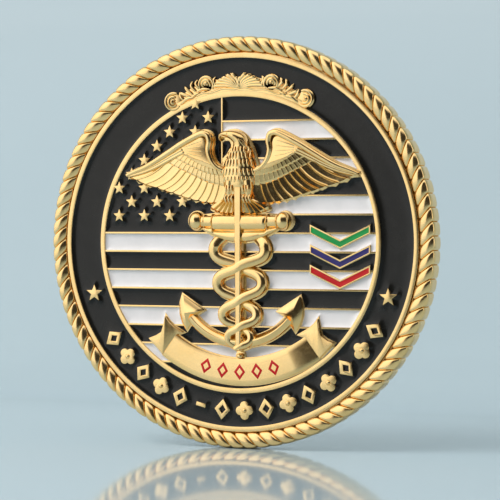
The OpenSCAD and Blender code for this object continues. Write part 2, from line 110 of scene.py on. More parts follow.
def outward(points, faces):
    """The solid with its faces turned so that its volume is positive."""
    p = np.asarray(points, float)
    tris = [(f[0], f[i], f[i + 1]) for f in faces for i in range(1, len(f) - 1)]
    t = np.array(tris)
    a, b, c = p[t[:, 0]], p[t[:, 1]], p[t[:, 2]]
    if np.einsum("ij,ij->i", a, np.cross(b, c)).sum() < 0:
        faces = [tuple(reversed(f)) for f in faces]
    return p, faces


def grid_faces(n, m, wrap_n=False, wrap_m=False):
    """Quads of an n by m grid of points."""
    i = np.arange(n if wrap_n else n - 1)[:, None]
    j = np.arange(m if wrap_m else m - 1)[None, :]
    i2, j2 = (i + 1) % n, (j + 1) % m
    quads = np.stack([i * m + j, i * m + j2, i2 * m + j2, i2 * m + j], -1)
    return [tuple(q) for q in quads.reshape(-1, 4).tolist()]


def loft(rings, closed_path=False):
    """A solid through rings of points (n, m, 3), each ring a closed loop."""
    rings = np.asarray(rings, float)
    n, m = rings.shape[:2]
    faces = grid_faces(n, m, wrap_n=closed_path, wrap_m=True)
    if not closed_path:
        faces.append(tuple(range(m - 1, -1, -1)))
        faces.append(tuple(range((n - 1) * m, n * m)))
    return outward(rings.reshape(-1, 3), faces)


def unit(v):
    v = np.asarray(v, float)
    return v / np.maximum(np.linalg.norm(v, axis=-1, keepdims=True), 1e-9)


def sideways(line):
    """Unit normals in the face, to the right of where a line is going."""
    d = unit(np.gradient(line, axis=0))
    return np.column_stack([d[:, 1], -d[:, 0]])


def at_height(outline, h):
    """A flat outline lifted to one height."""
    return np.column_stack([outline, np.full(len(outline), h)])


def polar(radius, a, centre=(0, 0)):
    """Points at a radius and at angles in radians."""
    return np.column_stack([centre[0] + radius * np.cos(a), centre[1] + radius * np.sin(a)])


def curve(points, n=6, closed=False):
    """A smooth curve through the points."""
    p = np.asarray(points, float)
    count = len(p)
    out = []
    spans = count if closed else count - 1
    for i in range(spans):
        if closed:
            a, b, c, d = (p[(i + k) % count] for k in (-1, 0, 1, 2))
        else:
            a, b, c, d = p[max(i - 1, 0)], p[i], p[i + 1], p[min(i + 2, count - 1)]
        for j in range(n):
            t = j / n
            out.append(
                0.5 * (2 * b + (c - a) * t + (2 * a - 5 * b + 4 * c - d) * t * t
                       + (3 * b - a - 3 * c + d) * t**3)
            )
    if not closed:
        out.append(p[-1])
    return np.array(out)


def resample(path, n, closed=False):
    """n points at even distances along a path."""
    p = np.asarray(path, float)
    if closed:
        p = np.vstack([p, p[:1]])
    s = np.concatenate([[0], np.cumsum(np.linalg.norm(np.diff(p, axis=0), axis=1))])
    t = np.linspace(0, s[-1], n + 1)[:-1] if closed else np.linspace(0, s[-1], n)
    return np.column_stack([np.interp(t, s, p[:, k]) for k in range(p.shape[1])])


def signed_area(p):
    x, y = p[:, 0], p[:, 1]
    return 0.5 * float(np.sum(x * np.roll(y, -1) - np.roll(x, -1) * y))


def anticlockwise(p):
    p = np.asarray(p, float)
    return p if signed_area(p) > 0 else p[::-1]


def inset(p, d):
    """An anticlockwise outline moved inwards by d, with its corners mitred."""
    before, after = p - np.roll(p, 1, 0), np.roll(p, -1, 0) - p
    n1 = unit(np.column_stack([-before[:, 1], before[:, 0]]))
    n2 = unit(np.column_stack([-after[:, 1], after[:, 0]]))
    miter = n1 + n2
    scale = 2 / np.maximum(np.einsum("ij,ij->i", miter, miter), 0.7)
    return p + d * miter * scale[:, None]


def slab(outline, low, high, bevel=0.06):
    """An outline extruded from low to high with a rounded upper edge."""
    p = anticlockwise(outline)
    edge = [(bevel * (1 - math.cos(a)), high - bevel + bevel * math.sin(a)) for a in ROUNDING]
    return loft([at_height(inset(p, d), h) for d, h in [(0.0, low), *edge]])


def revolve(profile, steps):
    """A closed profile of (radius, height) turned round the coin's axis."""
    a = np.linspace(0, 2 * math.pi, steps, endpoint=False)
    r, h = np.array(profile, float).T
    rings = np.stack(
        [np.outer(np.cos(a), r), np.outer(np.sin(a), r), np.tile(h, (steps, 1))], -1
    )
    return loft(rings, closed_path=True)


def disc(radius, thickness, steps=240):
    """A round plate about the coin's axis and mid-plane, its faces fans of triangles."""
    rim = polar(radius, np.linspace(0, 2 * math.pi, steps, endpoint=False))
    half = thickness / 2
    points = np.vstack([[[0, 0, -half]], at_height(rim, -half), at_height(rim, half),
                        [[0, 0, half]]])
    pairs = [(1 + i, 1 + (i + 1) % steps) for i in range(steps)]
    faces = [(a, b, b + steps, a + steps) for a, b in pairs]
    for a, b in pairs:
        faces += [(0, b, a), (len(points) - 1, a + steps, b + steps)]
    return outward(points, faces)


def tube(path, radius, sides=12, flat=1.0):
    """A round-ended bar along a path in coin space; flat squashes it along the height."""
    p = np.asarray(path, float)
    n = len(p)
    r = np.broadcast_to(np.asarray(radius, float), (n,))
    d = unit(np.gradient(p, axis=0))
    across = unit(np.cross(d, [0, 0, 1.0]))
    up = np.cross(across, d)
    a = np.linspace(0, 2 * math.pi, sides, endpoint=False)
    rings = (
        p[:, None]
        + r[:, None, None] * np.cos(a)[None, :, None] * across[:, None]
        + flat * r[:, None, None] * np.sin(a)[None, :, None] * up[:, None]
    )
    caps = []
    for k, s in ((0, -1), (n - 1, 1)):
        caps.append([p[k] + (rings[k] - p[k]) * shrink + s * d[k] * r[k] * reach
                     for reach, shrink in ((0.5, 0.87), (0.86, 0.5))])
    return loft(np.concatenate([np.array(caps[0])[::-1], rings, np.array(caps[1])]))


def ball(centre, radius, squash=(1, 1, 1), n=24):
    """An ellipsoid."""
    lat = np.linspace(0, math.pi, n // 2 + 1)[1:-1]
    lon = np.linspace(0, 2 * math.pi, n, endpoint=False)
    rings = np.stack(
        [np.outer(np.sin(lat), np.cos(lon)), np.outer(np.sin(lat), np.sin(lon)),
         np.repeat(np.cos(lat)[:, None], n, 1)], -1
    )
    m = len(lat)
    points = np.concatenate([rings.reshape(-1, 3), [[0, 0, 1], [0, 0, -1]]])
    faces = grid_faces(m, n, wrap_m=True)
    for j in range(n):
        faces.append((m * n, j, (j + 1) % n))
        faces.append((m * n + 1, (m - 1) * n + (j + 1) % n, (m - 1) * n + j))
    points = points * radius * np.array(squash) + np.array(centre)
    return outward(points, faces)


def relief(x, y, h, base):
    """A grid of heights closed by upright sides and a flat base."""
    n, m = x.shape
    top = np.stack([x, y, h], -1).reshape(-1, 3)
    index = np.arange(n * m).reshape(n, m)
    edge = np.concatenate([index[0, :-1], index[:-1, -1], index[-1, :0:-1], index[:0:-1, 0]])
    under = top[edge].copy()
    under[:, 2] = base
    faces = grid_faces(n, m)
    k = len(edge)
    first = n * m
    for i in range(k):
        j = (i + 1) % k
        faces.append((int(edge[j]), int(edge[i]), first + i, first + j))
    faces.append(tuple(range(first, first + k)))
    return outward(np.vstack([top, under]), faces)


def mirrored(solid):
    points, faces = solid
    return outward(np.asarray(points) * [-1, 1, 1], faces)


def moved(solid, x):
    points, faces = solid
    return np.asarray(points) + [x, 0, 0], faces


def turned_over(solid):
    """The same solid on the coin's back."""
    points, faces = solid
    return np.asarray(points) * [-1, 1, -1], faces


def make(name, solids, material, nodes, sharp=32):
    """One Blender piece from closed solids, riding on the coin in place of its nodes."""
    points, faces, start = [], [], 0
    for p, f in solids:
        points.append(to_world(p))
        faces += [tuple(i + start for i in face) for face in f]
        start += len(p)
    mesh = bpy.data.meshes.new(name)
    mesh.from_pydata(np.vstack(points).tolist(), [], faces)
    mesh.validate()
    # flat tops stay flat; everything with four corners or fewer is part of a curve
    mesh.polygons.foreach_set("use_smooth", [p.loop_total < 5 for p in mesh.polygons])
    mesh.set_sharp_from_angle(angle=math.radians(sharp))
    mesh.materials.append(material)
    piece = bpy.data.objects.new(name, mesh)
    bpy.context.collection.objects.link(piece)
    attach(piece, "root")
    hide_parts(*nodes)
    return piece


# ---- Materials ----------------------------------------------------------


def material(name, slot):
    """A new material, its node tree and its shader."""
    m = bpy.data.materials.new(name)
    m.use_nodes = True
    m["slot"] = slot
    tree = m.node_tree
    shader = tree.nodes["Principled BSDF"]
    return m, tree, shader


def new_node(tree, kind, values=None):
    """A node with values set on its inputs by name."""
    node = tree.nodes.new(kind)
    for name, value in (values or {}).items():
        node.inputs[name].default_value = value
    return node


def noise(tree, scale, detail=4.0):
    """Procedural noise in object space, in features per millimetre."""
    place = new_node(tree, "ShaderNodeTexCoord")
    size = new_node(tree, "ShaderNodeMapping", {"Scale": [1000.0] * 3})
    grain = new_node(tree, "ShaderNodeTexNoise",
                     {"Scale": scale, "Detail": detail, "Roughness": 0.55})
    tree.links.new(place.outputs["Object"], size.inputs["Vector"])
    tree.links.new(size.outputs["Vector"], grain.inputs["Vector"])
    return grain.outputs["Fac"]


def ramp(tree, value, stops):
    """A value turned into a colour between stops of (place, colour)."""
    node = new_node(tree, "ShaderNodeValToRGB")
    while len(node.color_ramp.elements) < len(stops):
        node.color_ramp.elements.new(0.5)
    for element, (place, colour) in zip(node.color_ramp.elements, stops):
        element.position = place
        element.color = (*colour, 1)
    tree.links.new(value, node.inputs["Fac"])
    return node.outputs["Color"]


def spread(tree, value, a, b, low, high, fade="LINEAR"):
    """A value's range from a to b mapped to low and high."""
    node = new_node(tree, "ShaderNodeMapRange",
                    {"From Min": a, "From Max": b, "To Min": low, "To Max": high})
    node.interpolation_type = fade
    tree.links.new(value, node.inputs["Value"])
    return node.outputs["Result"]


def bumped(tree, shader, value, relief_um):
    node = new_node(tree, "ShaderNodeBump", {"Distance": relief_um * 1e-6, "Strength": 1.0})
    tree.links.new(value, node.inputs["Height"])
    tree.links.new(node.outputs["Normal"], shader.inputs["Normal"])


def gold_material(name, tones, rough, relief_um):
    """Plated metal: two tones, a range of roughness and a relief in micrometres."""
    m, tree, shader = material(name, "gold_plate")
    shader.inputs["Metallic"].default_value = 1.0
    tint = ramp(tree, noise(tree, 0.35), [(0.3, tones[0]), (0.7, tones[1])])
    tree.links.new(tint, shader.inputs["Base Color"])
    tree.links.new(spread(tree, noise(tree, 1.6), 0.3, 0.7, *rough), shader.inputs["Roughness"])
    bumped(tree, shader, noise(tree, 2.2, 3.0), relief_um)
    return m


def enamel_material(name, slot, tones, rough, relief_um, ior=1.45):
    """Glossy enamel that is slightly uneven in tone, gloss and height."""
    m, tree, shader = material(name, slot)
    tint = ramp(tree, noise(tree, 0.5), [(0.35, tones[0]), (0.7, tones[1])])
    tree.links.new(tint, shader.inputs["Base Color"])
    tree.links.new(spread(tree, noise(tree, 0.9), 0.3, 0.7, *rough), shader.inputs["Roughness"])
    shader.inputs["IOR"].default_value = ior
    bumped(tree, shader, noise(tree, 0.6, 2.0), relief_um)
    return m


GOLD = gold_material("gold plate", [(0.95, 0.645, 0.265), (1.0, 0.71, 0.33)], (0.14, 0.22), 2)
CAST = gold_material("gold cast", [(0.95, 0.64, 0.26), (1.0, 0.71, 0.33)], (0.12, 0.2), 3)
BLACK = enamel_material("black enamel", "black_enamel",
                        [(0.008, 0.0075, 0.0062), (0.011, 0.0105, 0.0088)], (0.14, 0.22), 8, 1.39)
WHITE = enamel_material("white enamel", "white_enamel",
                        [(0.80, 0.77, 0.765), (0.86, 0.825, 0.82)], (0.15, 0.25), 10)
GREEN = enamel_material("green enamel", "green_enamel",
                        [(0.0, 0.25, 0.045), (0.005, 0.31, 0.06)], (0.12, 0.2), 8)
BLUE = enamel_material("blue enamel", "blue_enamel",
                       [(0.018, 0.012, 0.11), (0.024, 0.018, 0.15)], (0.12, 0.2), 8)
RED = enamel_material("red enamel", "red_enamel",
                      [(0.5, 0.005, 0.006), (0.6, 0.01, 0.01)], (0.12, 0.2), 8, 1.4)


# ---- Rope rim and planchet ----------------------------------------------

# Half of the rope's cross-section from its inner foot to the middle of the edge
ROPE_FACE = [(23.25, 0.55), (23.38, 0.86), (23.6, 1.1), (23.95, 1.3), (24.4, 1.4), (24.8, 1.36),
             (25.04, 1.22), (25.17, 0.96), (25.2, 0.55), (25.2, 0.0)]
ROPE_FOOT = [(22.9, -0.5), (22.9, 0.5)]
STRANDS = 92
STRAND_LEAN = 3.4
LEAN_FROM, LEAN_TO = 23.35, 25.05
STRAND_HEIGHT = 0.36
STRAND_SUNK = 0.16
TIP_START = 0.3
TIP = 0.85
# Places across a strand, from one groove to the next
ACROSS = [-1, -0.975, -0.93, -0.86, -0.74, -0.5, 0, 0.5, 0.74, 0.86, 0.93, 0.975]


def rope_rim():
    """One closed ring whose surface carries the slanted, flat-topped lobes of the rope."""
    half = curve(ROPE_FACE, 4)
    outer = np.vstack([half, half[::-1][1:] * [1, -1]])
    inner = np.array(ROPE_FOOT)
    lean_half = STRAND_LEAN * np.clip((half[:, 0] - LEAN_FROM) / (LEAN_TO - LEAN_FROM), -0.1, 1)
    lean = np.concatenate([lean_half, lean_half[::-1][1:]])
    tangent = unit(np.gradient(outer, axis=0))
    normal = np.column_stack([-tangent[:, 1], tangent[:, 0]])
    if normal[len(half) - 1, 0] < 0:
        normal = -normal
    s = np.concatenate([[0], np.cumsum(np.linalg.norm(np.diff(outer, axis=0), axis=1))])
    taper = np.clip(1 - (np.minimum(s, s[-1] - s) - TIP_START) / TIP, 0, 1)
    u = np.tile(ACROSS, STRANDS)
    turn = (np.repeat(np.arange(STRANDS), len(ACROSS)) + u / 2) * 360.0 / STRANDS
    room = 1 - np.abs(u[:, None]) ** 6 - taper[None, :] ** 2.6
    lobes = np.clip(room, 0, 1) ** 0.5
    crown = 1 - 0.16 * u[:, None] ** 2
    ang = np.radians(turn[:, None] + lean[None, :] - STRAND_LEAN)
    rh = outer[None] + normal[None] * (STRAND_HEIGHT * (lobes * crown)[..., None] - STRAND_SUNK)
    rings = np.stack([rh[..., 0] * np.cos(ang), rh[..., 0] * np.sin(ang), rh[..., 1]], -1)
    ang_in = np.radians(turn[:, None] - STRAND_LEAN + np.zeros(2)[None])
    closing = np.stack(
        [inner[:, 0] * np.cos(ang_in), inner[:, 0] * np.sin(ang_in),
         np.broadcast_to(inner[:, 1], ang_in.shape)], -1
    )
    return loft(np.concatenate([rings, closing], 1), closed_path=True)


def circle(radius, n, centre=(0, 0)):
    return polar(radius, np.linspace(0, 2 * math.pi, n, endpoint=False), centre)


def star(radius, centre, inner=0.42):
    """A five-pointed star; inner is the notches' share of its radius."""
    r = np.where(np.arange(10) % 2 == 0, radius, radius * inner)
    return polar(r, np.radians(90 + 36 * np.arange(10)), centre)


def ring_band(inner, outer, high=WALL_H, e=0.05):
    """A flat ring on the recessed floor; e rounds its two edges."""
    left = [(inner + e - e * math.cos(a), high - e + e * math.sin(a)) for a in ROUNDING]
    right = [(outer - e + e * math.cos(a), high - e + e * math.sin(a)) for a in ROUNDING[::-1]]
    return revolve([(inner, ROOT), *left, *right, (outer, ROOT)], 360)


def dense(outline, step=0.05):
    """The outline with points at most about one step apart."""
    p = np.vstack([outline, outline[:1]])
    out = []
    for a, b in zip(p[:-1], p[1:]):
        n = max(1, int(np.linalg.norm(b - a) / step))
        out.append(a + (b - a) * np.linspace(0, 1, n, endpoint=False)[:, None])
    return np.vstack(out)


# ---- Emblem outlines, about the emblem's middle line --------------------

WING_INNER = [(1.2, 8.8), (2.5, 9.3), (3.3, 10.1), (3.7, 11.3), (3.55, 12.4), (3.8, 13.4),
              (4.6, 13.8), (5.6, 13.6)]
WING_LEAD = [(7.9, 12.45), (9.4, 11.55), (11.4, 10.35), (12.9, 9.55), (14.4, 8.95), (15.35, 8.5)]
TIPS = [(15.0, 8.05), (13.75, 7.45), (12.3, 6.95), (10.6, 6.5), (9.4, 6.1), (8.2, 5.75),
        (7.1, 5.35), (6.0, 5.05), (4.9, 4.85), (3.9, 4.75), (3.0, 4.9)]
COVERT = [(14.2, 8.6), (12.4, 9.2), (9.8, 10.05), (7.7, 9.1), (5.9, 8.3), (4.4, 7.7), (2.6, 7.2),
          (1.2, 7.0)]
HEAD = [(2.05, 9.2), (1.85, 11), (1.3, 12.3), (0.6, 13.2), (-0.4, 13.75), (-1.5, 13.75),
        (-2.35, 13.45), (-2.6, 13), (-2.4, 12.55), (-2.1, 12.75), (-1.6, 12.7), (-1.25, 12.3),
        (-1.2, 11.7), (-1.7, 10.9), (-2.15, 9.8)]
TAIL_FAN = [(0, 5.4), (2.4, 5.2), (3.9, 4.2), (3.2, 3.75), (2.3, 3.5), (1.2, 3.55), (0, 3.9)]
FLUKE = [(7.17, -10.9), (7.75, -10), (8.1, -8.9), (8.15, -7.6), (7.8, -6.5), (6.1, -7.6),
         (4.85, -8.4), (6.05, -9.1), (6.45, -9.85)]
FLUKE_PEAK = (7.1, -8.75)
ARM_CENTRE = (0, -3.85)
ARM_R = 8.45
ARM_HALF = 0.62
ARM_ENDS = (-140, -40)
RIBBON_TAIL = [(8.5, -11.5), (7.65, -11.2), (8.9, -10.5), (9.6, -9.9), (10.1, -9.2),
               (10.3, -10.3), (10.6, -11.3), (11.4, -11.8), (12.2, -12.1), (11.3, -13),
               (10.4, -14)]
RIBBON_IN = 14.3
RIBBON_OUT = 17.5
RIBBON_HALF = 36.5
RIBBON_ENDS = (-90 - RIBBON_HALF, -90 + RIBBON_HALF)
# The serpents' loops: how far they bulge and how high, and where the two cross
LOOP_BULGE = [3.4, 2.95, 2.25, 1.5]
LOOP_Z = [-1.0, -5.0, -8.9, -11.75]
CROSS_Z = [1.2, -3.0, -7.15, -10.45, -13.15]


def flip(outline):
    return (np.asarray(outline, float) * [-1, 1])[::-1]


def scalloped(points, depth):
    """A line of shallow bows between the points."""
    out = []
    for a, b in zip(np.array(points[:-1], float), np.array(points[1:], float)):
        n = unit(np.array([(b - a)[1], -(b - a)[0]]))
        for t in np.linspace(0, 1, 7)[:-1]:
            out.append(a + (b - a) * t + n * depth * math.sin(math.pi * t))
    out.append(np.array(points[-1], float))
    return np.array(out)


LEAD_LINE = curve(WING_INNER + WING_LEAD, 6)
TIP_LINE = scalloped(TIPS, 0.22)
WING = np.vstack([LEAD_LINE, TIP_LINE, curve(COVERT)[-1:]])


def serpent_side(k, s):
    """1 where loop k of serpent s bulges to the right, -1 to the left."""
    return (1 if k % 2 == 0 else -1) * s


def bend(p0, d0, p1, d1, n):
    """A cubic between two points with the given directions at its ends."""
    t = (np.arange(n) / n)[:, None]
    p0, d0, p1, d1 = (np.array(v, float) for v in (p0, d0, p1, d1))
    return ((2 * t**3 - 3 * t**2 + 1) * p0 + (t**3 - 2 * t**2 + t) * d0
            + (3 * t**2 - 2 * t**3) * p1 + (t**3 - t**2) * d1)


def serpent_path(s, n):
    """The middle line of one serpent, in 2n steps to a loop."""
    out = []
    for k in range(4):
        o = serpent_side(k, s)
        start = (s * 0.9, 1.9) if k == 0 else (0, CROSS_Z[k])
        end = (0, CROSS_Z[k + 1]) if k < 3 else (-o * 0.4, CROSS_Z[4] - 0.05 * s)
        tip = (o * LOOP_BULGE[k], LOOP_Z[k])
        up, down = start[1] - tip[1], tip[1] - CROSS_Z[k + 1]
        turn = (0, -2.1 * min(up, down))
        lean = 0.66 if k == 0 else 1.1
        out.append(bend(start, (o * lean * up, -1.1 * up), tip, turn, n))
        out.append(bend(tip, turn, end, (-o * 1.1 * down, -1.1 * down), n))
    out.append(np.array([end]))
    return np.vstack(out)


def serpent_radius(y):
    return np.interp(y, LOOP_Z[::-1], [0.5, 0.6, 0.66, 0.72])


def band_outline(path, half):
    n = sideways(path) * np.reshape(half, (-1, 1))
    return np.vstack([path + n, (path - n)[::-1]])


def arc(radius, a0, a1, n, centre=(0, 0)):
    return polar(radius, np.radians(np.linspace(a0, a1, n)), centre)


def arc_band(inner, outer, a0, a1, centre=(0, 0)):
    return np.vstack([arc(outer, a0, a1, 60, centre), arc(inner, a1, a0, 60, centre)])


RIBBON = arc_band(RIBBON_IN, RIBBON_OUT, *RIBBON_ENDS)
ARMS = arc_band(ARM_R - ARM_HALF, ARM_R + ARM_HALF, *ARM_ENDS, ARM_CENTRE)
STOCK_UNDER = [(-5.1, 1.75), (-4.2, 1.15), (-3, 0.6), (-1.6, 0.15), (0, 0.0), (1.6, 0.15),
               (3, 0.6), (4.2, 1.15), (5.1, 1.75)]
STOCK = np.vstack([curve(STOCK_UNDER, 6), [(5.0, 3.3), (3.0, 3.5), (-3.0, 3.5), (-5.0, 3.3)]])


def emblem_outlines():
    """Every outline that the castings stand on, in coin space."""
    parts = [WING, flip(WING), curve(HEAD, 6, closed=True),
             np.array([(-2.1, 4.8), (2.1, 4.8), (2.15, 9.4), (-2.15, 9.4)]),
             np.vstack([flip(curve(TAIL_FAN, 4)), curve(TAIL_FAN, 4)]),
             ARMS, np.array(FLUKE), flip(FLUKE), STOCK, RIBBON,
             np.array(RIBBON_TAIL, float), flip(RIBBON_TAIL),
             circle(1.1, 48, BALL_SPOT), circle(1.1, 48, (-BALL_SPOT[0], BALL_SPOT[1])),
             circle(0.52, 32, (0, -13.9)),
             np.array([(-0.5, -13.2), (0.5, -13.2), (0.5, 6.75), (-0.5, 6.75)])]
    for s in (1, -1):
        p = serpent_path(s, 8)
        for k in range(4):
            piece = p[16 * k:16 * k + 17]
            parts.append(band_outline(piece, serpent_radius(piece[:, 1])))
    return [np.asarray(p) + [EMBLEM_X, 0] for p in parts]


def grown(outline, d):
    """An outline moved outwards by d."""
    return inset(anticlockwise(outline), -d)


# ---- Walls, stars and motifs --------------------------------------------


def white_y(k):
    """Middle of a white stripe, counted up from the one in the coin's middle."""
    return k * PAIR_PITCH


def chord(y, r=18.3):
    """Half the width at height y of a disc that reaches just into the field's ring."""
    return math.sqrt(max(r * r - y * y, 0))


def rectangle(x0, x1, y0, y1):
    return np.array([(x0, y0), (x1, y0), (x1, y1), (x0, y1)])


def field_wall_outlines():
    """Walls above and below each white stripe, and last the one beside the stars."""
    out = []
    half = WALL_W / 2
    for k in range(-3, 4):
        for s in (-1, 1):
            y = white_y(k) + s * (WHITE_H - WALL_W) / 2
            x1 = chord(y)
            out.append(rectangle(CANTON_X if k > 0 else -x1, x1, y - half, y + half))
    y0, y1 = WHITE_H / 2 - WALL_W, chord(CANTON_X)
    return out + [rectangle(CANTON_X - half, CANTON_X + half, y0, y1)]


def canton_star_outlines():
    """The stars in rows that step sideways, without those that the emblem covers."""
    out = []
    for row in range(9):
        for col in range(5):
            x = -16 + STAR_PITCH * (col + (0.5 if row % 2 else 0))
            y = 3.3 + STAR_ROW * row
            covered = x > -6 and y < 6
            if covered or x > CANTON_X - STAR_R:
                continue
            if math.hypot(x, y) < FIELD_R + 0.5 * STAR_R:
                out.append(star(1.1 * STAR_R, (x, y), inner=0.45))
    return out


def vee(w, h, y):
    """A chevron of width w and upright thickness h with its point at height y."""
    rise = w / 2 * math.tan(CHEVRON_ANGLE)
    return np.array([(0, 0), (w / 2, rise), (w / 2, rise + h), (0, h), (-w / 2, rise + h),
                     (-w / 2, rise)]) + [CHEVRON_X, y]


def chevron_y(i):
    return -0.73 - CHEVRON_PITCH * i


def chevron_cell(i, wall=0.2):
    """The enamelled V inside its gold frame."""
    lean = wall / math.cos(CHEVRON_ANGLE)
    w = CHEVRON_W - 2 * wall
    return vee(w, CHEVRON_H - 2 * lean, chevron_y(i) + lean)


def framed(outer, inner, low, high, b=0.045):
    """A closed wall between an outline and a smaller one with as many points; b is its bevel."""
    o, i = anticlockwise(outer), anticlockwise(inner)
    edge = ((0, low), (0, high - b), (b * 0.3, high - b * 0.3), (b, high))
    rings = [at_height(inset(o, d), h) for d, h in edge]
    rings += [at_height(inset(i, -d), h) for d, h in reversed(edge)]
    return loft(np.stack(rings, 0).transpose(1, 0, 2), closed_path=True)


def placed(outline, radius, angle):
    """An outline drawn about its own middle, y outwards, put at an angle on the border."""
    a = math.radians(angle - 90)
    p = np.asarray(outline, float) + [0, radius]
    return np.column_stack([p[:, 0] * math.cos(a) - p[:, 1] * math.sin(a),
                            p[:, 0] * math.sin(a) + p[:, 1] * math.cos(a)])


def lozenge(w, h):
    return np.array([(w / 2, 0), (0, h / 2), (-w / 2, 0), (0, -h / 2)])


def hollow_lozenge(shape, radius, angle, low, high, bevel=0.045):
    """A lozenge-shaped frame at an angle on a ring round the coin's middle."""
    w, h, hollow = shape
    outer, inner = lozenge(w, h), lozenge(w * hollow, h * hollow)
    return framed(placed(outer, radius, angle), placed(inner, radius, angle), low, high, bevel)


def quatrefoil(r, n=16):
    """Four round lobes, each half as wide as the whole."""
    out = []
    for q in range(4):
        c = np.array([math.cos(math.radians(90 * q)), math.sin(math.radians(90 * q))]) * r * 0.5
        a = np.radians(90 * q + np.linspace(-88, 88, n))
        out.append(c + r * 0.5 * polar(1, a))
    return np.vstack(out)


def border_motifs():
    """Plain lozenges and quatrefoils along the lower border, where a motto would be."""
    solids, outlines = [], []
    for i in range(15):
        angle = 216 + 8.1 * i
        if i == 5:
            shape = rectangle(-0.65, 0.65, -0.25, 0.25)
            solids.append(slab(placed(shape, MOTIF_R, angle), FLOOR_H, WALL_H))
        elif i % 2 == 0:
            shape = lozenge(*BORDER_LOZENGE[:2])
            solids.append(hollow_lozenge(BORDER_LOZENGE, MOTIF_R, angle, FLOOR_H, WALL_H))
        else:
            shape = quatrefoil(1.15)
            solids.append(slab(placed(shape, MOTIF_R, angle), FLOOR_H, WALL_H, 0.07))
            solids.append(ball([*placed([(0, 0)], MOTIF_R, angle)[0], WALL_H], 0.3,
                               (1, 1, 0.7), 16))
        outlines.append(placed(shape, MOTIF_R, angle))
    return solids, outlines


# ---- Enamel -------------------------------------------------------------


def distances(points, outlines):
    """How far each point is from the nearest of the outlines."""
    near = np.vstack([dense(anticlockwise(o)) for o in outlines])
    tree = KDTree(len(near))
    for i, q in enumerate(near.tolist()):
        tree.insert((q[0], q[1], 0.0), i)
    tree.balance()
    return np.array([tree.find((x, y, 0.0))[2] for x, y in points.reshape(-1, 2).tolist()])


LOW_ENAMEL = 0.92
CLIMB = 0.2
CREEP = 0.24
ENAMEL_STEP = 0.2 / FINE


def enamel_height(x, y, outlines):
    """Enamel that sags between the walls and climbs where it meets them."""
    d = distances(np.stack([x, y], -1), outlines).reshape(x.shape)
    for ring in (FIELD_R, BORDER_IN, BORDER_OUT):
        d = np.minimum(d, np.abs(np.hypot(x, y) - ring))
    return LOW_ENAMEL + CLIMB * np.exp(-d / CREEP)


def cell_relief(x_left, x_right, y0, y1, outlines):
    """Enamel between two heights y0 and y1, reaching from x_left(y) to x_right(y)."""
    ys = np.linspace(y0, y1, max(3, int((y1 - y0) / ENAMEL_STEP) + 1))
    widest = max(x_right(y) - x_left(y) for y in ys)
    u = np.linspace(0, 1, max(3, int(widest / ENAMEL_STEP) + 1))
    left = np.array([x_left(y) for y in ys])[:, None]
    right = np.array([x_right(y) for y in ys])[:, None]
    x = left + (right - left) * u[None]
    y = np.repeat(ys[:, None], len(u), 1)
    return relief(x, y, enamel_height(x, y, outlines), ROOT)


def border_relief(outlines):
    """Enamel of the whole border, a ring."""
    r = np.linspace(BORDER_IN - 0.1, BORDER_OUT + 0.1, int(4.3 / ENAMEL_STEP) + 1)
    a = np.linspace(0, 2 * math.pi, int(130 / ENAMEL_STEP), endpoint=False)
    x, y = np.outer(np.cos(a), r), np.outer(np.sin(a), r)
    top = np.stack([x, y, enamel_height(x, y, outlines)], -1)
    low = top[:, [-1, 0]].copy()
    low[..., 2] = ROOT
    return loft(np.concatenate([top, low], 1), closed_path=True)


# ---- Eagle --------------------------------------------------------------


def between(a, b, t):
    """The point a share t of the way from a to b."""
    return a + (b - a) * t


def feather(inner, outer, root_h, tip_h, ridge, cut=0.26, tip=0.22, n=18):
    """A blade between two lines: a rounded rib along the inner one, a flat falling outwards.

    ridge is the rib's height, tip how far the end bows out and cut how far it drops."""
    a, b = resample(curve(inner, 6), n), resample(curve(outer, 6), n)
    c = np.array([0.0, 0.03, 0.09, 0.16, 0.23, 0.3, 0.5, 0.75, 1.0, 1.02])
    lift = np.array([0.35, 0.8, 1.0, 0.95, 0.7, 0.52, 0.38, 0.2, 0.02, -0.5]) * ridge
    t = np.linspace(0, 1, n)
    along = unit(np.gradient((a + b) / 2, axis=0))
    push = tip * np.clip((t - 0.8) / 0.2, 0, 1) ** 2
    rings = []
    for i in range(n):
        p = a[i] + (b[i] - a[i]) * c[:, None]
        p = p + along[i] * (push[i] * 4 * np.clip(c * (1 - c), 0, 1))[:, None]
        drop = cut * max(0.0, (t[i] - 0.93) / 0.07) ** 2
        h = root_h + (tip_h - root_h) * t[i] + lift - drop
        top = np.column_stack([p, h])
        under = np.array([[*p[-1], BASE], [*p[0], BASE]])
        rings.append(np.vstack([top, under]))
    return loft(rings)


def ridge_lines():
    """The ribs of the long feathers, from the covert line out to the tips."""
    roots = [(1.5, 7.05), (2.7, 7.15), (3.45, 7.15), (4.25, 7.4), (5.0, 7.7), (5.75, 8.05),
             (6.5, 8.4), (7.15, 8.75), (7.85, 9.05), (8.85, 9.5), (9.65, 9.95), (10.4, 10.35)]
    tips = [(2.3, 4.85), (3.5, 4.85), (4.5, 4.9), (5.6, 5.1), (6.8, 5.4), (8.0, 5.75),
            (9.15, 6.1), (10.3, 6.4), (11.3, 6.75), (12.8, 7.15), (14.1, 7.7), (15.2, 8.25)]
    out = []
    for i, (r, t) in enumerate(zip(np.array(roots), np.array(tips))):
        span = t - r
        sag = np.array([span[1], -span[0]]) / np.linalg.norm(span)
        depth = 0.05 + 0.035 * i
        middle = [r + span * f + sag * depth * 4 * f * (1 - f) for f in (0.33, 0.66)]
        out.append([r, *middle, t])
    return out


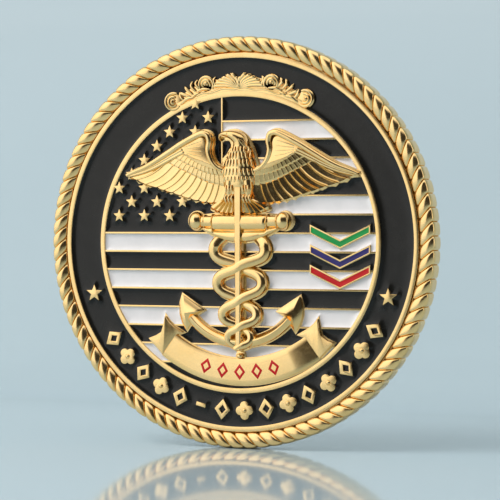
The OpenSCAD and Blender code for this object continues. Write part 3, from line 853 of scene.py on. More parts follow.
def covert_rows():
    """Two overlapping steps of short slanted feathers."""
    solids = []
    upper = curve([(1.9, 8.9), (3.2, 9.0), (4.6, 9.4), (6.0, 10.1), (7.3, 10.85), (8.6, 11.6)], 6)
    middle = curve([(1.5, 8.2), (3.0, 8.3), (4.6, 8.65), (6.2, 9.3), (7.9, 10.1), (9.6, 10.95)], 6)
    lower = curve([(1.3, 7.0), (2.7, 7.05), (4.4, 7.55), (5.9, 8.15), (7.7, 8.95), (9.9, 9.95),
                   (10.6, 10.35)], 6)
    rows = [(middle, lower, 15, 1.84, 1.72), (upper, middle, 14, 1.98, 1.88)]
    for top, foot, count, root_h, tip_h in rows:
        a, b = resample(top, count + 1), resample(foot, count + 1)
        for i in range(count):
            mid0, mid1 = between(a[i], b[i], 0.5), between(a[i + 1], b[i + 1], 0.5)
            solids.append(feather([a[i], mid0, b[i]], [a[i + 1], mid1, b[i + 1]], root_h, tip_h,
                                  ridge=0.09, tip=0.1, n=8, cut=0.08))
    return solids


def shoulder():
    """The smooth shoulder above the coverts, with long shallow feathers laid on it."""
    solids = []
    rim = curve([(2.4, 9.35), (3.3, 9.75), (4.0, 10.5), (4.35, 11.4), (4.35, 12.3), (4.75, 12.95),
                 (5.6, 12.95), (7.0, 12.3), (8.9, 11.35)], 5)
    foot = resample(curve([(1.9, 8.9), (3.2, 8.95), (4.6, 9.35), (6.0, 10.0), (7.3, 10.75),
                           (8.7, 11.25)], 6), 24)
    solids.append(slab(np.vstack([rim, foot[::-1]]), BASE, 2.06, 0.14))
    for k in range(5):
        f = k / 4
        a = between(np.array([4.75, 10.0]), np.array([5.0, 12.5]), f)
        b = between(np.array([7.1, 10.95]), np.array([7.3, 11.75]), f)
        path = [(*a, 2.03), (*(between(a, b, 0.5) + [0.05, -0.1 * (1 - f)]), 2.06), (*b, 2.02)]
        solids.append(tube(curve(path, 5), 0.07, 8, 0.7))
    return solids


def long_ribs():
    """Two long ribs beside the leading edge, out to the tip."""
    solids = []
    for offset in (1.05, 1.42):
        line = curve([(8.2, 12.3), (9.4, 11.55), (11.4, 10.35), (12.9, 9.55), (14.4, 8.95),
                      (15.2, 8.6)], 5)
        shrink = np.linspace(1, 0.28, len(line))[:, None]
        beside = line + sideways(line) * offset * shrink
        path = np.column_stack([beside, np.linspace(2.02, 1.72, len(line))])
        solids.append(tube(path, np.linspace(0.22, 0.13, len(line)), 10, 0.8))
    return solids


def leading_edge():
    """The rolled edge that carries the wing."""
    line = resample(LEAD_LINE, 90)
    n = sideways(line)
    t = np.linspace(0, 1, len(line))
    half = np.interp(t, [0, 0.06, 0.15, 0.45, 0.8, 1], [0.16, 0.26, 0.34, 0.4, 0.34, 0.2])
    high = np.interp(t, [0, 0.1, 0.3, 0.5, 0.8, 1], [1.95, 2.2, 2.42, 2.45, 2.25, 1.95])
    centre = line + n * half[:, None]
    a = np.radians(np.linspace(0, 180, 12))
    rings = []
    for i in range(len(line)):
        cross = np.column_stack([-np.cos(a) * half[i], np.sin(a) * half[i] * 0.85])
        top = [[*(centre[i] + n[i] * -u), high[i] - half[i] * 0.85 + v] for u, v in cross[::-1]]
        rings.append(np.vstack([top, [[*(centre[i] - n[i] * half[i]), BASE],
                                      [*(centre[i] + n[i] * half[i]), BASE]]]))
    return loft(rings)


def wing_solids(ridge):
    """The right wing; ridge is the height of its long feathers' ribs."""
    lines = ridge_lines()
    solids = [feather(a, b, 1.62 + 0.012 * i, 1.5, ridge)
              for i, (a, b) in enumerate(zip(lines[:-1], lines[1:]))]
    # a base under everything, so that no gap shows between the feathers
    solids.append(slab(inset(anticlockwise(WING), 0.12), BASE, 1.5, 0.08))
    return solids + covert_rows() + shoulder() + long_ribs() + [leading_edge()]


ARCH = 2.2


def dome_loft(spine, half, top, n=40, sides=22):
    """A body lofted along a line in the face: an arch of the given half-width and height."""
    s = resample(curve(spine, 8), n)
    f = np.linspace(0, 1, n)
    w = np.interp(f, np.linspace(0, 1, len(half)), half)
    h = np.interp(f, np.linspace(0, 1, len(top)), top)
    across = sideways(s)
    a = np.linspace(0, math.pi, sides)
    cx = np.sign(np.cos(a)) * np.abs(np.cos(a)) ** (2 / ARCH)
    cy = np.abs(np.sin(a)) ** (2 / ARCH)
    rings = []
    for i in range(n):
        p = s[i] + across[i] * (cx * w[i])[:, None]
        ring = np.column_stack([p, BASE + 0.08 + (h[i] - BASE - 0.08) * cy])
        rings.append(np.vstack([ring, [[*p[-1], BASE], [*p[0], BASE]]]))
    return loft(rings)


def body_top(x, y):
    """Height of the breast at a point, for the feathers that lie on it."""
    w = np.interp(y, [4.8, 7, 8.2, 9.4, 10.6, 11.6, 12.5], [1.9, 2.2, 2.36, 2.26, 1.8, 1.3, 0.98])
    c = np.interp(y, [4.8, 7, 8.4, 9.5, 10.6, 11.6, 12.5], [0, -0.05, -0.1, -0.1, 0, 0.1, 0])
    h = np.interp(y, [4.8, 7, 8.4, 9.5, 10.6, 12.5], [2.2, 2.42, 2.5, 2.5, 2.48, 2.42])
    q = np.clip(1 - (np.abs(x - c) / w) ** ARCH, 0, 1) ** (1 / ARCH)
    return BASE + 0.08 + (h - BASE - 0.08) * q


def lobe(centre, half, direction, lift):
    """A small feather: a pointed lens lying on a surface."""
    c = np.asarray(centre, float)
    d = unit(np.asarray(direction, float))
    across = unit(np.cross(d, [0, 0, 1.0]))
    up = np.cross(across, d)
    n, m = 9, 10
    rings = []
    for i in range(n):
        t = -1 + 2 * (i + 0.5) / n
        w = half[0] * (1 - abs(t) ** 2.2) ** 0.6
        a = np.linspace(0, 2 * math.pi, m, endpoint=False)
        rings.append(c + d * t * half[1] + np.outer(np.cos(a) * w, across)
                     + np.outer(np.sin(a) * lift * (1 - t * t) ** 0.5, up))
    return loft(rings)


def body_and_head():
    """The body from the neck down, then the head, the eye and the beak."""
    solids = []
    solids.append(dome_loft(
        [(-0.1, 12.9), (0.1, 12.2), (0.1, 11.4), (0, 10.4), (-0.1, 9.4), (-0.1, 8.4), (-0.05, 7.2),
         (0, 6.2), (0, 5.1)],
        [0.8, 1.05, 1.35, 1.85, 2.26, 2.36, 2.2, 1.95, 1.9],
        [2.3, 2.42, 2.45, 2.48, 2.5, 2.5, 2.45, 2.3, 2.1]))
    solids.append(dome_loft(
        [(-2.5, 12.45), (-2.66, 12.9), (-2.3, 13.28), (-1.6, 13.32), (-0.75, 13.1),
         (-0.05, 12.6), (0.12, 12.0)],
        [0.06, 0.24, 0.42, 0.56, 0.74, 0.95, 1.05],
        [1.75, 2.1, 2.35, 2.48, 2.5, 2.46, 2.42], n=44))
    solids.append(ball([-1.4, 13.36, 2.42], 0.12, (1, 1, 0.8), 14))
    solids.append(tube([(-2.25, 13.08, 2.3), (-1.8, 12.98, 2.42), (-1.35, 12.88, 2.4)],
                       [0.05, 0.07, 0.05], 8))
    return solids


def plumage():
    """Feathers over the nape and down the neck, and rows of them on the breast."""
    solids = []
    for k in range(5):
        f = k / 4
        a = np.array([0.1 + 0.35 * f, 12.7 - 0.1 * f])
        b = np.array([0.75 + 0.75 * f, 11.9 - 0.7 * f])
        pts = [(*between(a, b, t), body_top(*between(a, b, t)) + 0.03) for t in
               np.linspace(0.1, 1, 8)]
        solids.append(tube(pts, 0.085, 8, 0.9))
    rows = [(11.35, 0.48, 7), (10.75, 0.55, 8), (9.75, 0.52, 9), (8.65, 0.5, 9), (7.75, 0.42, 8)]
    for y, half_len, count in rows:
        w = np.interp(y, [7.7, 8.6, 9.4, 10.6, 11.6], [1.95, 2.18, 2.1, 1.7, 1.2])
        c = np.interp(y, [8.2, 9.5, 10.6, 11.6], [-0.1, -0.1, 0, 0.1])
        for i in range(count):
            x = c + w * (-0.9 + 1.8 * i / (count - 1))
            lean = 0.16 * (x - c)
            low_h, high_h = body_top(x + lean * half_len, y - half_len), body_top(x, y + half_len)
            direction = (lean * 2 * half_len, -2 * half_len, low_h - high_h)
            solids.append(lobe((x, y, body_top(x, y) + 0.01), (0.17, half_len), direction, 0.12))
    return solids


def legs():
    """Thighs and feet on either side of the staff."""
    solids = []
    for s in (-1, 1):
        solids.append(dome_loft([(s * 1.15, 7.6), (s * 1.25, 6.6), (s * 1.2, 5.4)],
                                [0.75, 0.72, 0.5], [2.5, 2.5, 2.3], n=16))
        for k in range(3):
            x = s * (0.7 + 0.42 * k)
            path = [(x, 5.75, 2.3), (x + 0.05 * s, 5.35, 2.42), (x + 0.08 * s, 4.98, 2.2)]
            solids.append(tube(curve(path, 4), 0.16, 8))
        for k in range(3):
            x = s * (0.75 + 0.36 * k)
            solids.append(lobe((x, 6.6, 2.52), (0.13, 0.5), (0.05 * s, -1, -0.05), 0.1))
    return solids


def tail_fan():
    """Ribs that spread to a scalloped foot."""
    solids = []
    foot = [(0.0, 3.75), (0.72, 3.52), (1.45, 3.45), (2.15, 3.5), (2.8, 3.68), (3.4, 3.95),
            (3.95, 4.3)]
    for s in (-1, 1):
        for k in range(6):
            a0, a1 = np.array([0.25 + 0.3 * k, 5.3]), np.array([0.25 + 0.3 * (k + 1), 5.3])
            b0, b1 = np.array(foot[k]), np.array(foot[k + 1])
            blade = feather([a0, between(a0, b0, 0.5), b0], [a1, between(a1, b1, 0.5), b1],
                            2.15, 1.85 - 0.02 * k, ridge=0.3, tip=0.12, n=10)
            solids.append(blade if s > 0 else mirrored(blade))
    return solids


def eagle_solids():
    solids = wing_solids(0.34) + [mirrored(p) for p in wing_solids(0.16)]
    solids += body_and_head() + plumage() + legs() + tail_fan()
    return [moved(p, EMBLEM_X) for p in solids]


# ---- Anchor -------------------------------------------------------------


def stock_solid():
    """The stock: a thick barrel with narrow necks and a full lip along its curved underside."""
    xs = np.linspace(-5.1, 5.1, 121)
    rings = []
    under = curve(STOCK_UNDER, 8)
    for x in xs:
        low_y = np.interp(x, under[:, 0], under[:, 1])
        f = abs(x) / 5.0
        neck = np.clip((abs(x) - 3.3) / 0.45, 0, 1)
        neck = neck * neck * (3 - 2 * neck)
        top_y = 3.5 - 0.1 * f * f - 0.12 * neck
        bar = 1.36 + 0.12 * f * f + 0.36 * neck
        main = 2.46 - 0.1 * f * f - 0.36 * neck
        lip = 2.15 - 0.35 * f ** 2
        lip_profile = [(0.0, BASE), (0.0, 1.45), (0.12, 0.55 * lip + 0.45 * BASE + 0.25),
                       (0.3, lip - 0.06), (0.5, lip), (0.72, lip - 0.05), (0.92, lip - 0.22),
                       (1.0, lip - 0.32)]
        ring = [(x, low_y + (bar - low_y) * u, h) for u, h in lip_profile]
        for a in np.radians(np.linspace(20, 160, 14)):
            u = 0.5 - 0.5 * math.cos(a)
            ring.append((x, bar + (top_y - bar) * u, BASE + (main - BASE) * math.sin(a) ** 0.6))
        ring.append((x, top_y, BASE))
        rings.append(ring)
    return loft(rings)


def arm_solid():
    """The curved arms, with one ridge along them and a swell in the middle."""
    a = np.radians(np.linspace(*ARM_ENDS, 90))
    profile = [(-1, BASE), (-1, 1.5), (-0.93, 1.62), (-0.3, 2.0), (-0.2, 2.05), (-0.08, 2.06),
               (0.3, 1.98), (0.85, 1.8), (0.95, 1.72), (1, 1.6), (1, BASE)]
    rings = []
    for t in a:
        swell = 1.0 + 0.12 * math.cos(2 * (t + math.pi / 2))
        rings.append([(ARM_CENTRE[0] + (ARM_R + u * ARM_HALF * swell) * math.cos(t),
                       ARM_CENTRE[1] + (ARM_R + u * ARM_HALF * swell) * math.sin(t), h)
                      for u, h in profile])
    return loft(rings)


def fluke_solid():
    """A faceted head that rises from its edge to one peak."""
    p = anticlockwise(resample(np.vstack([curve(FLUKE[:5], 4), FLUKE[5:]]), 44, closed=True))
    n = len(p)
    middle = np.array([FLUKE_PEAK])
    points = np.vstack([at_height(p, BASE), at_height(p, 1.5), at_height(middle, 2.42),
                        at_height(middle, BASE)])
    faces = []
    for i in range(n):
        j = (i + 1) % n
        faces += [(i, j, n + j, n + i), (n + i, n + j, 2 * n), (j, i, 2 * n + 1)]
    return outward(points, faces)


def anchor_solids():
    solids = [stock_solid(), arm_solid()]
    fluke = fluke_solid()
    solids += [fluke, mirrored(fluke)]
    for s in (-1, 1):
        solids.append(ball([s * 5.72 - 0.12, 2.6, 1.36], 1.2, (0.82, 1, 0.95), 40))
        # collars at the two ends of the neck
        solids.append(dome_loft([(s * 4.78, 3.42), (s * 4.78, 1.75)], [0.15, 0.17, 0.15],
                                [1.7, 2.16, 1.7], n=20))
        solids.append(dome_loft([(s * 3.62, 3.5), (s * 3.62, 1.5)], [0.13, 0.15, 0.13],
                                [1.9, 2.4, 1.9], n=20))
    return [moved(p, EMBLEM_X) for p in solids]


# ---- Staff and serpents -------------------------------------------------


def staff_solids():
    """The tapering staff, its knob and the swelling over it."""
    rings = []
    for y in np.linspace(6.75, -13.2, 40):
        f = (6.75 - y) / 19.95
        face, side = 0.40 - 0.15 * f, 0.52 - 0.06 * f
        top = 2.5 - 0.12 * f
        rings.append([(-side, y, BASE), (-side, y, top - 0.45), (-face - 0.03, y, top - 0.06),
                      (-face + 0.04, y, top), (face - 0.04, y, top), (face + 0.03, y, top - 0.06),
                      (side, y, top - 0.45), (side, y, BASE)])
    return [loft(rings), ball([0, -13.95, 1.5], 0.44, (1, 0.8, 1), 24),
            ball([0, -11.75, 1.75], 0.62, (1, 0.8, 0.8), 24)]


def serpent_solid(s):
    """A rounded rope that rides over the other one on its way down to the left."""
    path = serpent_path(s, 16)
    n = len(path)
    height = np.full(n, 1.72)
    for k in range(1, 5):
        at = min(k * 32, n - 1)
        front = serpent_side(min(k, 3), s) < 0 if k < 4 else serpent_side(3, s) > 0
        gap = (np.arange(n) - at) / 11.0
        height += (0.34 if front else -0.3) * np.exp(-gap**2)
    height -= 0.6 * np.clip((13 - np.arange(n)) / 6, 0, 1)
    half = serpent_radius(path[:, 1])
    half = half * np.interp(np.arange(n), [0, 6, n - 8, n - 1], [0.8, 1, 1, 0.75])
    across = sideways(path)
    a = np.linspace(0, 2 * math.pi, 20, endpoint=False)
    cx = np.sign(np.cos(a)) * np.abs(np.cos(a)) ** 0.85
    cy = np.sign(np.sin(a)) * np.abs(np.sin(a)) ** 0.85
    rings = []
    for i in range(n):
        p = path[i] + across[i] * (cx * half[i])[:, None]
        rings.append(np.column_stack([p, height[i] + cy * 0.52 * (half[i] / 0.7) ** 0.5]))
    return loft(rings)


def caduceus_solids():
    solids = staff_solids() + [serpent_solid(1), serpent_solid(-1)]
    return [moved(p, EMBLEM_X) for p in solids]


# ---- Ribbon -------------------------------------------------------------


def ribbon_height(angle):
    """The band dips at its right end, where it folds under its tail."""
    return 1.66 - 0.42 * np.clip((angle + 90 - 25) / 11.5, 0, 1) ** 1.4


def ribbon_solids():
    """The curved band and its two swallow tails."""
    solids = []
    b = 0.05
    rings = []
    for a in np.linspace(*RIBBON_ENDS, 120):
        h = float(ribbon_height(a))
        t = math.radians(a)
        prof = [(RIBBON_IN, BASE), (RIBBON_IN, h - b), (RIBBON_IN + b * 0.3, h - b * 0.3),
                (RIBBON_IN + b, h), (RIBBON_IN + 0.6, h + 0.02), (RIBBON_IN + 1.6, h + 0.03),
                (RIBBON_OUT - 0.6, h + 0.02), (RIBBON_OUT - b, h),
                (RIBBON_OUT - b * 0.3, h - b * 0.3), (RIBBON_OUT, h - b), (RIBBON_OUT, BASE)]
        rings.append([(r * math.cos(t), r * math.sin(t), z) for r, z in prof])
    solids.append(loft(rings))
    points, faces = slab(resample(RIBBON_TAIL, 80, closed=True), BASE, 1.62)
    # the tail rises outwards
    points[:, 2] += np.where(points[:, 2] > BASE + 0.01, (points[:, 0] - 9.2) * 0.05, 0)
    solids += [(points, faces), mirrored((points, faces))]
    return [moved(p, EMBLEM_X) for p in solids]


def ribbon_lozenges():
    """Red hollow lozenges where the band would carry letters."""
    middle = (RIBBON_IN + RIBBON_OUT) / 2
    return [moved(hollow_lozenge(RIBBON_LOZENGE, middle, -90 + i * 8.2, BASE, 1.72, 0.03), EMBLEM_X)
            for i in range(-2, 3)]


# ---- Crest, reverse and the coin itself ---------------------------------

CREST_X = 0.22
CREST_ENDS = (62, 118)
CREST_OUT = 19.15


def flat_tube(path, radius, h):
    """A slightly squashed bar at one height."""
    return tube(at_height(path, h), radius, 9, 0.9)


def wave(centre, radius, start, sweep, thick):
    """A scroll of three nested crescents on a round pad, like a breaking wave."""
    solids = [slab(circle(radius * 0.9, 48, centre), FLOOR_H, 1.1, 0.08)]
    t = np.linspace(0, 1, 28)
    for k, (size, share) in enumerate(((1.0, 1.0), (0.6, 0.9), (0.24, 0.85))):
        a = np.radians(start + sweep * (0.5 + share * (t - 0.5)))
        r = radius * size * (1 - 0.15 * t) - 0.3 * thick
        swell = 0.3 + 0.7 * np.sin(math.pi * (0.1 + 0.85 * t)) ** 0.7
        solids.append(flat_tube(polar(r, a, centre), thick * swell, 1.22 + 0.02 * k))
    return solids


def shell(side):
    """Half of the middle shell: ribs that fan out of its foot and curl over."""
    solids = []
    foot = np.array([0.12 * side, 18.95])
    ends = [(0.35, 20.35), (0.95, 20.75), (1.6, 20.6), (2.15, 20.3), (2.65, 20.0), (3.1, 19.6),
            (3.4, 19.2)]
    for k, e in enumerate(ends):
        e = np.array([e[0] * side, e[1]])
        span = e - foot
        away = np.array([-span[1], span[0]]) * side * -0.2 * (1 - k / 9)
        pts = curve([foot + span * 0.08, foot + span * 0.4 - away, foot + span * 0.8 - away * 0.6,
                     e], 5)
        r = np.interp(np.linspace(0, 1, len(pts)), [0, 0.3, 0.85, 1], [0.1, 0.2, 0.25, 0.12])
        solids.append(flat_tube(pts, r, 1.28 - 0.02 * k))
    return solids


def leaf(points, width):
    p = curve(points, 6)
    r = width * np.sin(np.linspace(0.25, math.pi - 0.1, len(p))) ** 0.7
    return flat_tube(p, np.maximum(r, 0.04), 1.16)


def crest_plates():
    """The arched foot of the crest, the plate behind its scrolls and a wavy line."""
    solids = []
    inner, outer = arc(18.5, *CREST_ENDS, 60), arc(CREST_OUT, *CREST_ENDS[::-1], 60)
    solids.append(slab(np.vstack([inner, outer]), FLOOR_H, 1.18, 0.07))
    plate = np.vstack([arc(18.6, 90 - 20, 90 + 20, 30),
                       curve([(-6.2, 19.0), (-4.3, 20.2), (-2.6, 20.1), (-1.0, 20.6), (0.2, 20.2),
                              (1.4, 20.6), (3.0, 20.1), (4.7, 20.2), (6.4, 19.0)], 5)])
    solids.append(slab(plate, FLOOR_H, 1.1, 0.1))
    # a wavy line that runs along the foot of the scrolls
    t = np.linspace(-17, 17, 120)
    r = 18.95 + 0.09 * np.sin(np.radians(t * 42))
    path = np.column_stack([r * np.sin(np.radians(t)), r * np.cos(np.radians(t))])
    solids.append(flat_tube(path, 0.13, 1.16))
    return solids


def crest_half(side):
    """Shell, breaking waves and leaves on one side of the crest."""
    solids = shell(side)
    solids += wave((side * 4.35, 19.5), 1.05, 90 + side * 115, -side * 250, 0.24)
    solids += wave((side * 8.7, 17.45), 1.15, 90 + side * 20, -side * 250, 0.26)
    leaves = [
        ([(2.9, 19.2), (3.3, 19.9), (3.1, 20.4)], 0.24),
        ([(3.9, 18.9), (4.9, 18.9), (5.7, 18.5)], 0.22),
        ([(7.2, 17.5), (7.7, 18.0), (7.9, 18.6)], 0.24),
        ([(5.2, 19.0), (5.7, 19.6), (5.5, 20.1)], 0.24),
        ([(5.7, 18.7), (6.3, 19.3), (6.2, 19.9)], 0.24),
        ([(6.1, 18.3), (6.9, 18.9), (7.2, 19.3)], 0.22),
        ([(6.4, 18.0), (7.3, 18.3), (7.9, 18.6)], 0.24),
        ([(6.0, 17.9), (7.0, 17.7), (7.8, 17.0)], 0.26),
        ([(5.2, 18.5), (6.0, 18.1), (6.6, 17.6)], 0.2),
    ]
    for points, width in leaves:
        p = np.array(points) * [side, 1]
        solids.append(leaf(p, width))
    web = np.array([(5.0, 18.2), (6.4, 17.5), (7.9, 16.75), (8.3, 17.7), (7.2, 18.6),
                    (6.0, 19.3), (5.0, 19.4)]) * [side, 1]
    solids.append(slab(curve(web, 5, closed=True), FLOOR_H, 1.08, 0.1))
    return solids


def crest_solids():
    """Scrollwork over the top of the field."""
    return [moved(p, CREST_X) for p in crest_plates() + crest_half(-1) + crest_half(1)]


def rose_point(angle, length, half, ridge, edge):
    """One point of the compass rose: two facets that meet in a ridge.

    half is its half-angle at the hub; ridge and edge are heights in the middle and outside."""
    a, b = math.radians(angle), math.radians(half)
    hub = length * 0.2
    tip = (length * math.cos(a), length * math.sin(a), edge)
    left = (hub * math.cos(a + b), hub * math.sin(a + b), edge)
    right = (hub * math.cos(a - b), hub * math.sin(a - b), edge)
    middle = (0, 0, ridge)
    points = [middle, right, tip, left]
    points += [(p[0], p[1], ROOT) for p in points]
    faces = [(0, 1, 2), (0, 2, 3), (1, 5, 6, 2), (2, 6, 7, 3), (3, 7, 4, 0), (0, 4, 5, 1),
             (4, 7, 6, 5)]
    return outward(points, faces)


def border_rings():
    return [ring_band(FIELD_R, BORDER_IN), ring_band(BORDER_OUT, RING_OUT)]


def stud_spot(k):
    return placed([(0, 0)], MOTIF_R, 45 * k + 22.5)[0]


def reverse_solids():
    """Rings, lozenges and studs on the border, and a compass rose in the middle."""
    solids = [*border_rings(), ring_band(16.6, 16.95, 0.8)]
    for k in range(8):
        solids.append(hollow_lozenge(BORDER_LOZENGE, MOTIF_R, 45 * k, FLOOR_H, WALL_H))
        solids.append(ball([*stud_spot(k), WALL_H - 0.35], 0.48, (1, 1, 0.9), 24))
    for k in range(4):
        solids.append(rose_point(45 + 90 * k, 10.2, 24, 1.25, 0.75))
    for k in range(4):
        solids.append(rose_point(90 * k, 15.5, 40, 1.5, 0.85))
    solids.append(ball([0, 0, 1.2], 1.0, (1, 1, 0.45), 36))
    return [turned_over(s) for s in solids]


# ---- Making the pieces --------------------------------------------------

EMBLEM = emblem_outlines()
SEATS = [grown(o, SEAT_EDGE) for o in EMBLEM]
CHEVRONS = [vee(CHEVRON_W, CHEVRON_H, chevron_y(i)) for i in range(3)]
STARS = canton_star_outlines()
BORDER_STARS = [star(1.2, (x, -6.5)) for x in (-19.5, 19.5)]
WALLS = field_wall_outlines()
MOTIFS, MOTIF_OUTLINES = border_motifs()

coin = [disc(PLANCHET_R, 2 * FLOOR_H)]
coin += border_rings()
# crossing tops are a few micrometres apart, so that no two lie in one plane
coin += [slab(w, ROOT, WALL_H - 0.012, 0.05) for w in WALLS[:-1]]
coin += [slab(WALLS[-1], ROOT, WALL_H - 0.016, 0.05)]
coin += [slab(s, ROOT, WALL_H + 0.02, 0.07) for s in STARS + BORDER_STARS]
coin += MOTIFS
coin += [framed(v, chevron_cell(i), ROOT, WALL_H + 0.06) for i, v in enumerate(CHEVRONS)]
make("coin_planchet", coin, GOLD, ["coin_body"])
make("coin_seats", [slab(s, ROOT, WALL_H + 0.02 - 0.002 * i, 0.05) for i, s in enumerate(SEATS)],
     GOLD, ["coin_body"])
make("coin_rope", [rope_rim()], GOLD, ["coin_body"], sharp=50)
make("coin_crest", crest_solids(), CAST, ["coin_body"])
make("coin_reverse", reverse_solids(), GOLD, ["coin_body"])

FIELD_LINES = SEATS + CHEVRONS + STARS + WALLS
REACH = WHITE_H / 2 - WALL_W / 2
TOP, BOTTOM = 18.15, -18.15


def field_edge(y):
    return chord(y, CELL_R)


def stripe(name, y0, y1, beside_stars, paint):
    """Enamel of one stripe, from the star field or the left edge to the right edge."""
    left = (lambda y: CANTON_X) if beside_stars else (lambda y: -field_edge(y))
    make(f"{name}_enamel", [cell_relief(left, field_edge, y0, y1, FIELD_LINES)], paint, [name])


for i in range(1, 9):
    y0 = BOTTOM if i == 8 else white_y(4 - i) + REACH
    y1 = TOP if i == 1 else white_y(5 - i) - REACH
    stripe(f"black_stripe_{i}", y0, y1, i < 5, BLACK)
for i in range(1, 8):
    y = white_y(4 - i)
    stripe(f"white_stripe_{i}", y - REACH, y + REACH, i < 4, WHITE)

canton = cell_relief(lambda y: -field_edge(y), lambda y: CANTON_X, REACH, 18.1, FIELD_LINES)
make("canton_field", [canton], BLACK, ["canton_enamel"])
crest_edge = [arc(CREST_OUT, *CREST_ENDS, 60)]
make("border_field", [border_relief(MOTIF_OUTLINES + BORDER_STARS + crest_edge)], BLACK,
     ["border_enamel"])
reverse_lines = [placed(lozenge(*BORDER_LOZENGE[:2]), MOTIF_R, 45 * k) for k in range(8)]
reverse_lines += [circle(0.45, 24, stud_spot(k)) for k in range(8)]
make("reverse_field", [turned_over(border_relief(reverse_lines))], BLACK,
     ["reverse_border_enamel"])


def chevron_fill(i):
    """Coloured enamel in one V, climbing a little at its frame."""
    u = np.linspace(-1, 1, 80 * FINE + 1)
    v = np.linspace(0, 1, 10)
    wall = 0.1
    step = wall / math.cos(CHEVRON_ANGLE)
    x = CHEVRON_X + u * (CHEVRON_W / 2 - wall)
    base = chevron_y(i) + np.abs(u) * (CHEVRON_W / 2 - wall) * math.tan(CHEVRON_ANGLE) + step
    y = base[:, None] + v[None] * (CHEVRON_H - 2 * step)
    x = np.repeat(x[:, None], len(v), 1)
    d = distances(np.stack([x, y], -1), [chevron_cell(i)]).reshape(x.shape)
    return relief(x, y, WALL_H + 0.01 + 0.03 * np.exp(-d / 0.15), FLOOR_H)


for i, (shade, paint) in enumerate((("green", GREEN), ("blue", BLUE), ("red", RED))):
    make(f"chevron_{shade}_fill", [chevron_fill(i)], paint, [f"chevron_{shade}_enamel"])

make("eagle_casting", eagle_solids(), CAST, ["eagle"])
make("anchor_casting", anchor_solids(), CAST, ["anchor"])
make("caduceus_casting", caduceus_solids(), CAST, ["caduceus"])
make("ribbon_casting", ribbon_solids(), GOLD, ["ribbon"])
make("ribbon_lozenges", ribbon_lozenges(), RED, ["ribbon_enamel"])

# ---- Stage, camera and light --------------------------------------------


def stage_material(name, tones, rough):
    m = bpy.data.materials.new(name)
    m.use_nodes = True
    shader = m.node_tree.nodes["Principled BSDF"]
    tint = ramp(m.node_tree, noise(m.node_tree, 0.004, 2.0), [(0.3, tones[0]), (0.7, tones[1])])
    m.node_tree.links.new(tint, shader.inputs["Base Color"])
    shader.inputs["Roughness"].default_value = rough
    return m


# A floor that curves up into a wall: (y, z) points in metres, from front to back
FLOOR_END = 0.05
SWEEP_R = 0.25
sweep = [(-1.2, 0.0), (-0.4, 0.0), (FLOOR_END, 0.0)]
sweep += [(FLOOR_END + SWEEP_R * math.sin(a), SWEEP_R - SWEEP_R * math.cos(a))
          for a in np.radians(range(6, 91, 6)).tolist()]
sweep += [(FLOOR_END + SWEEP_R, z) for z in (0.6, 1.2)]
mesh = bpy.data.meshes.new("backdrop")
mesh.from_pydata([(x, y, body_low.z + z) for y, z in sweep for x in (-1.6, 1.6)], [],
                 [(2 * i, 2 * i + 1, 2 * i + 3, 2 * i + 2) for i in range(len(sweep) - 1)])
mesh.polygons.foreach_set("use_smooth", np.ones(len(mesh.polygons), bool))
mesh.materials.append(stage_material("backdrop", [(0.36, 0.455, 0.50), (0.42, 0.515, 0.56)], 0.08))
backdrop = bpy.data.objects.new("backdrop", mesh)
bpy.context.collection.objects.link(backdrop)

AZIMUTH = math.radians(22.13)
ELEVATION = math.radians(0.66)
DISTANCE = 252.7 * MM
target = Vector((0, MID_Y - 1.2 * MM, CENTRE_Z))
away = Vector((math.sin(AZIMUTH) * math.cos(ELEVATION), -math.cos(AZIMUTH) * math.cos(ELEVATION),
               math.sin(ELEVATION)))
camera_data = bpy.data.cameras.new("camera")
camera_data.sensor_width = 36
camera_data.lens = 147.9
camera_data.clip_start = 0.01
camera_data.clip_end = 20
camera_data.shift_x = 0.0262
camera_data.shift_y = -0.0152
camera = bpy.data.objects.new("camera", camera_data)
camera.location = target + away * DISTANCE
camera.rotation_euler = (target - camera.location).to_track_quat("-Z", "Y").to_euler()
bpy.context.collection.objects.link(camera)
bpy.context.scene.camera = camera


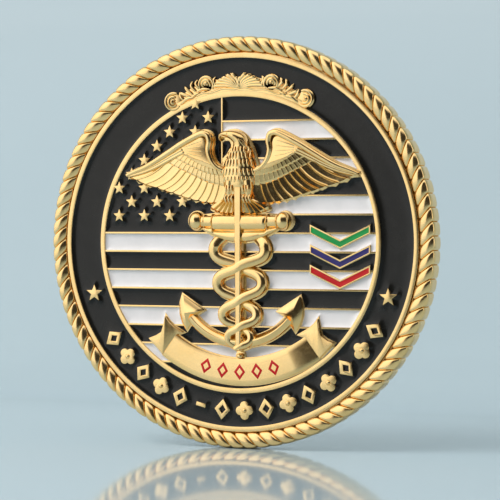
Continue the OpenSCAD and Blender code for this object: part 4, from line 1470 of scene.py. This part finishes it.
def area_light(name, azimuth, elevation, distance, size, power, tint):
    data = bpy.data.lights.new(name, "AREA")
    data.shape = "DISK"
    data.size = size
    data.energy = power
    data.color = tint
    light = bpy.data.objects.new(name, data)
    a, e = math.radians(azimuth), math.radians(elevation)
    out = Vector((math.sin(a) * math.cos(e), -math.cos(a) * math.cos(e), math.sin(e)))
    light.location = target + out * distance
    light.rotation_euler = (-out).to_track_quat("-Z", "Y").to_euler()
    bpy.context.collection.objects.link(light)
    return light


area_light("key", -42, 45, 0.9, 0.5, 5.6, (1.0, 0.985, 0.965)).visible_glossy = False

world = bpy.data.worlds.new("studio")
bpy.context.scene.world = world
world.use_nodes = True
sky = world.node_tree
place = new_node(sky, "ShaderNodeTexCoord")
split = new_node(sky, "ShaderNodeSeparateXYZ")
sky.links.new(place.outputs["Generated"], split.inputs[0])


def sky_math(operation, a, b):
    node = new_node(sky, "ShaderNodeMath")
    node.operation = operation
    for socket, value in zip(node.inputs, (a, b)):
        if isinstance(value, (int, float)):
            socket.default_value = value
        else:
            sky.links.new(value, socket)
    return node.outputs[0]


def sky_step(value, a, b, low, high):
    """low below a, high above b, and a smooth step between."""
    return spread(sky, value, a, b, low, high, "SMOOTHSTEP")


# Bearing round the coin in radians, 0 in front of its face and growing to the right
bearing = sky_math("ARCTAN2", split.outputs["X"],
                   sky_math("MULTIPLY", split.outputs["Y"], -1.0))
# A dark zone low on the right, and a brighter one high on the left
dark = sky_math("MULTIPLY", sky_step(bearing, -0.37, -0.12, 0, 1),
                sky_step(bearing, 1.35, 1.6, 1, 0))
dark = sky_math("MULTIPLY", dark, sky_step(split.outputs["Z"], 0.55, 0.85, 1, 0))
glow = sky_math("MULTIPLY", sky_step(bearing, -1.9, -0.7, 0, 1),
                sky_step(bearing, -0.7, -0.2, 1, 0))
glow = sky_math("MULTIPLY", glow, sky_step(split.outputs["Z"], -0.1, 0.6, 0.25, 1))
level = sky_math("ADD", sky_math("MULTIPLY", glow, 0.3), 1.18)
level = sky_math("MULTIPLY", level, sky_math("SUBTRACT", 1.0, sky_math("MULTIPLY", dark, 0.97)))
background = sky.nodes["Background"]
background.inputs["Color"].default_value = (1.0, 0.985, 0.96, 1)
sky.links.new(level, background.inputs["Strength"])

bpy.context.scene.view_settings.view_transform = "Standard"
